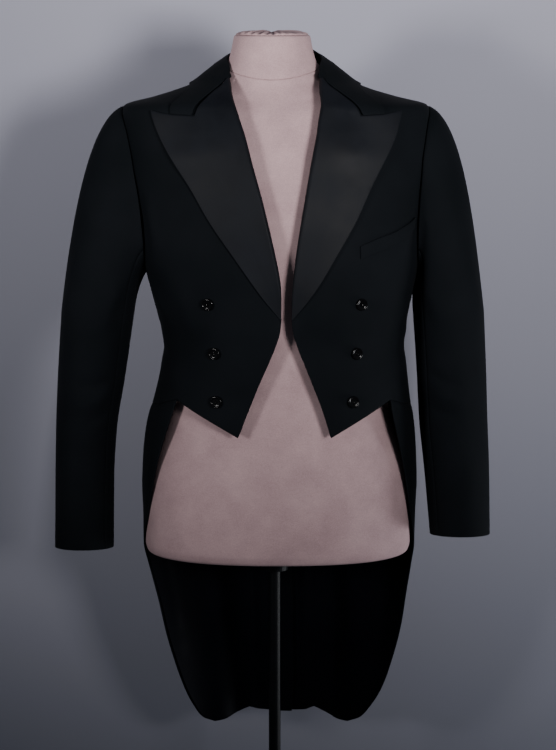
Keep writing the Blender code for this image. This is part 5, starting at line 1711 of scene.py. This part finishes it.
@dataclass
class DressForm:
    """The padded form: a torso, a neck with its own seam, and a gathered cap on top."""

    sides: int = 168
    hem_rows: tuple = (0.822, 0.838, 12)
    trunk_rows: tuple = (0.841, 1.470, 150)
    shoulder_rows: tuple = (1.473, 54)
    neck_rows: int = 28
    hem_curl: tuple = ((0.8222, 0.0040), (0.8220, 0.0016))
    rim_curl: tuple = ((0.0014, 0.0003), (0.0004, 0.0012), (0.0, 0.0024))
    pleats: int = 26
    pleat_depth: float = 0.0021
    seam_at: float = NECK_SEAM + 0.0085
    seam_sway: float = 0.0044
    seam_spread: float = 0.0080
    seam_press: float = 0.0008
    tufts: tuple = ((-54.0, 7.0, 0.0036), (-41.0, 5.0, 0.0030), (-27.0, 5.0, 0.0020),
                    (-13.0, 4.0, 0.0022), (7.0, 4.0, 0.0020), (17.0, 4.5, 0.0034),
                    (30.0, 5.0, 0.0026), (44.0, 6.0, 0.0014), (58.0, 7.0, 0.0020),
                    (80.0, 14.0, 0.0012), (128.0, 12.0, 0.0030), (160.0, 9.0, 0.0022),
                    (-158.0, 12.0, 0.0028), (-112.0, 14.0, 0.0018))
    cap_rings: tuple = ((0.0034, 0.0003, 0.0), (0.0026, 0.0008, 0.15), (0.0028, 0.0015, 0.4),
                        (0.0040, 0.0023, 0.7), (0.0070, 0.0030, 0.9), (0.0110, 0.0034, 1.0),
                        (0.0160, 0.0037, 1.0), (0.0220, 0.0039, 1.0), (0.0290, 0.0040, 1.0),
                        (0.0360, 0.0040, 0.9), (0.0430, 0.0038, 0.7), (0.0490, 0.0034, 0.4))

    def tilt(self, angles: Array, height: float) -> Array:
        """Return how far a ring is lowered towards the front, as the neck seam is."""
        facing = 0.5 + 0.5 * np.cos(np.radians(angles))
        near = math.exp(-((height - self.seam_at) / self.seam_spread) ** 2)
        sway = self.seam_sway * near * np.cos(np.radians(2.0 * angles))
        if height > NECK_SEAM:
            share = np.clip((NECK_RIM - height) / (NECK_RIM - NECK_SEAM), 0.0, 1.0)
            return NECK_DROP * share * facing + sway
        share = eased((height - DROP_START) / (NECK_SEAM - DROP_START))
        return NECK_DROP * share * facing ** (1.0 + DROP_FOCUS * (1.0 - share)) + sway

    def ring(self, height: float, inward: float = 0.0, lift: float = 0.0) -> Array:
        """Return one ring of the form."""
        angles = np.linspace(0.0, 360.0, self.sides, endpoint=False)
        points = FORM.point(angles, np.full(self.sides, height), -inward)
        points[:, 2] += lift - self.tilt(angles, height)
        return points

    def build(self, room: Cloakroom) -> None:
        """Build the torso, the neck and the cap."""
        start, count = self.shoulder_rows
        heights = np.concatenate([np.linspace(*self.hem_rows), np.linspace(*self.trunk_rows),
                                  np.linspace(start, self.seam_at - 0.0012, count)])
        rings = [self.ring(height, inward) for height, inward in self.hem_curl]
        rings += [self.ring(h) for h in heights[1:]]
        rings += [self.ring(self.seam_at - 0.0006, 0.0003),
                  self.ring(self.seam_at, self.seam_press)]
        torso = closed_stack("jersey_torso", rings, room.jersey)
        settle(torso, ["form_torso"])
        rings = [self.ring(self.seam_at, self.seam_press, SEAM),
                 self.ring(self.seam_at + 0.0006, 0.0002, SEAM)]
        rings += [self.ring(h, 0.0, SEAM * (NECK_RIM - h) / (NECK_RIM - self.seam_at))
                  for h in np.linspace(self.seam_at + 0.0014, NECK_RIM - 0.0030,
                                       self.neck_rows)]
        rings += [self.ring(NECK_RIM - below, inward) for below, inward in self.rim_curl]
        neck = closed_stack("jersey_neck", rings, room.jersey)
        settle(neck, ["form_neck"])
        self.build_cap(room)

    def build_cap(self, room: Cloakroom) -> None:
        """Build the cap, whose cloth is gathered in pleats towards the middle."""
        angles = np.linspace(0.0, 2 * math.pi, 4 * self.sides, endpoint=False)
        degrees = np.degrees(angles)
        rings = []
        for inward, rise, share in self.cap_rings:
            points = FORM.point(degrees, np.full(len(angles), NECK_RIM), -inward)
            wave = np.sin(self.pleats * angles + 0.9 * np.sin(3 * angles))
            wave = 0.5 + 0.5 * np.sign(wave) * np.abs(wave) ** 0.8
            uneven = 0.75 + 0.25 * np.sin(5 * angles + 1.3)
            points[:, 2] += rise - self.pleat_depth * share * wave * uneven
            points[:, 2] += share * sum(
                height * np.exp(-(((degrees - place + 180.0) % 360.0 - 180.0) / width) ** 2)
                for place, width, height in self.tufts)
            rings.append(points)
        cap = closed_stack("gathered_cap", rings, room.jersey)
        settle(cap, ["form_neck_cap"])


@dataclass
class Stand:
    """The black pole, its flange and the plain round base, whose solids are kept."""

    def dress(self, room: Cloakroom) -> None:
        """Give the stand's solids their enamel."""
        for name in ("stand_pole", "stand_flange", "stand_base"):
            node = bpy.data.objects[name]
            for slot in node.material_slots:
                slot.material = room.enamel
            if not node.material_slots:
                node.data.materials.append(room.enamel)


class Lamp(NamedTuple):
    """A square soft light: where it stands, what it points at, and how it shines."""

    name: str
    place: tuple
    target: tuple
    size: float
    power: float
    colour: tuple
    spread: float


@dataclass
class Studio:
    """The floor, the wall, the lights and the camera."""

    lamps: tuple = (
        Lamp("left_light", (-1.95, -2.00, 1.58), (-0.08, 0.2, 1.80), 0.50, 5.2,
             (1.0, 0.970, 0.965), 54.0),
        Lamp("right_light", (1.25, -2.40, 1.62), (0.20, 0.2, 1.88), 0.60, 9.5,
             (1.0, 0.970, 0.965), 56.0),
        Lamp("wall_light", (1.70, 0.02, 0.40), (0.40, 0.30, 0.75), 0.50, 3.2,
             (0.93, 0.96, 1.0), 80.0))
    reach: float = 4.0
    near_y: float = -4.5
    floor_z: float = -0.0005
    wall_y: float = 0.30
    lens: float = 115.9
    camera_at: tuple = (0.005, -3.5, 1.67)
    look_down: float = 9.5

    def build(self) -> None:
        """Set the stage, the lights and the camera."""
        r = Recipe("pale_backdrop")
        place = r.stretched("Object", (1.0, 1.0, 1.0))
        cloud = r.noise(place, 0.9, 3.0)
        r.feed(r.shader, {"Base Color": r.mixed(cloud, (0.285, 0.288, 0.350),
                                                (0.325, 0.328, 0.388)),
                          "Roughness": 0.95, "Specular IOR Level": 0.1})
        wide, near, far = self.reach, self.near_y, self.wall_y
        floor = self.panel("studio_floor", r.material,
                           [(x, y, self.floor_z) for x, y in
                            ((-wide, near), (wide, near), (wide, far), (-wide, far))])
        wall = self.panel("studio_wall", r.material,
                          [(x, far, z) for x, z in
                           ((-wide, 0.0), (wide, 0.0), (wide, wide), (-wide, wide))])
        for lamp in self.lamps:
            self.light(lamp)
        world = bpy.data.worlds.new("studio_world")
        bpy.context.scene.world = world
        world.use_nodes = True
        world.node_tree.nodes["Background"].inputs["Color"].default_value = (0.63, 0.70, 0.76, 1)
        world.node_tree.nodes["Background"].inputs["Strength"].default_value = 0.15
        data = bpy.data.cameras.new("photo_camera")
        data.lens = self.lens
        data.sensor_width = 36.0
        camera = bpy.data.objects.new("photo_camera", data)
        camera.location = self.camera_at
        camera.rotation_euler = (math.radians(90.0 - self.look_down), 0.0, 0.0)
        bpy.context.scene.collection.objects.link(camera)
        bpy.context.scene.camera = camera

    @staticmethod
    def panel(name: str, material: bpy.types.Material, corners: Sequence) -> bpy.types.Object:
        """Make one flat panel of the stage."""
        mesh = bpy.data.meshes.new(name)
        mesh.from_pydata(corners, [], [(0, 1, 2, 3)])
        mesh.materials.append(material)
        return new_object(name, mesh)

    @staticmethod
    def light(lamp: Lamp) -> None:
        """Add one soft light."""
        data = bpy.data.lights.new(lamp.name, "AREA")
        data.energy, data.size, data.color = lamp.power, lamp.size, lamp.colour
        data.spread = math.radians(lamp.spread)
        item = bpy.data.objects.new(lamp.name, data)
        item.location = lamp.place
        toward = Vector(lamp.target) - Vector(lamp.place)
        item.rotation_euler = toward.to_track_quat("-Z", "Y").to_euler()
        bpy.context.scene.collection.objects.link(item)


def main() -> None:
    """Build the tailcoat, its form, its stand and the studio."""
    logging.basicConfig(level=logging.INFO, format="%(message)s")
    Studio().build()
    room = Cloakroom()
    StitchRow.prepare(room.thread)
    sleeves = {}
    for side in Side:
        Foreparts().build(side, room)
        SideBodies().build(side, room)
        Backs().build(side, room)
        Skirts().build(side, room)
        TailLinings().build(side, room)
        Lapels().build(side, room)
        sleeves[side] = Sleeves().build(side, room)[0]
        LOG.info("%s side built", side.word)
    Collar().build(room)
    PocketWelt().build(room)
    Buttons().build(room, sleeves)
    DressForm().build(room)
    Stand().dress(room)
    LOG.info("form and stand built")


if __name__ == "__main__":
    main()
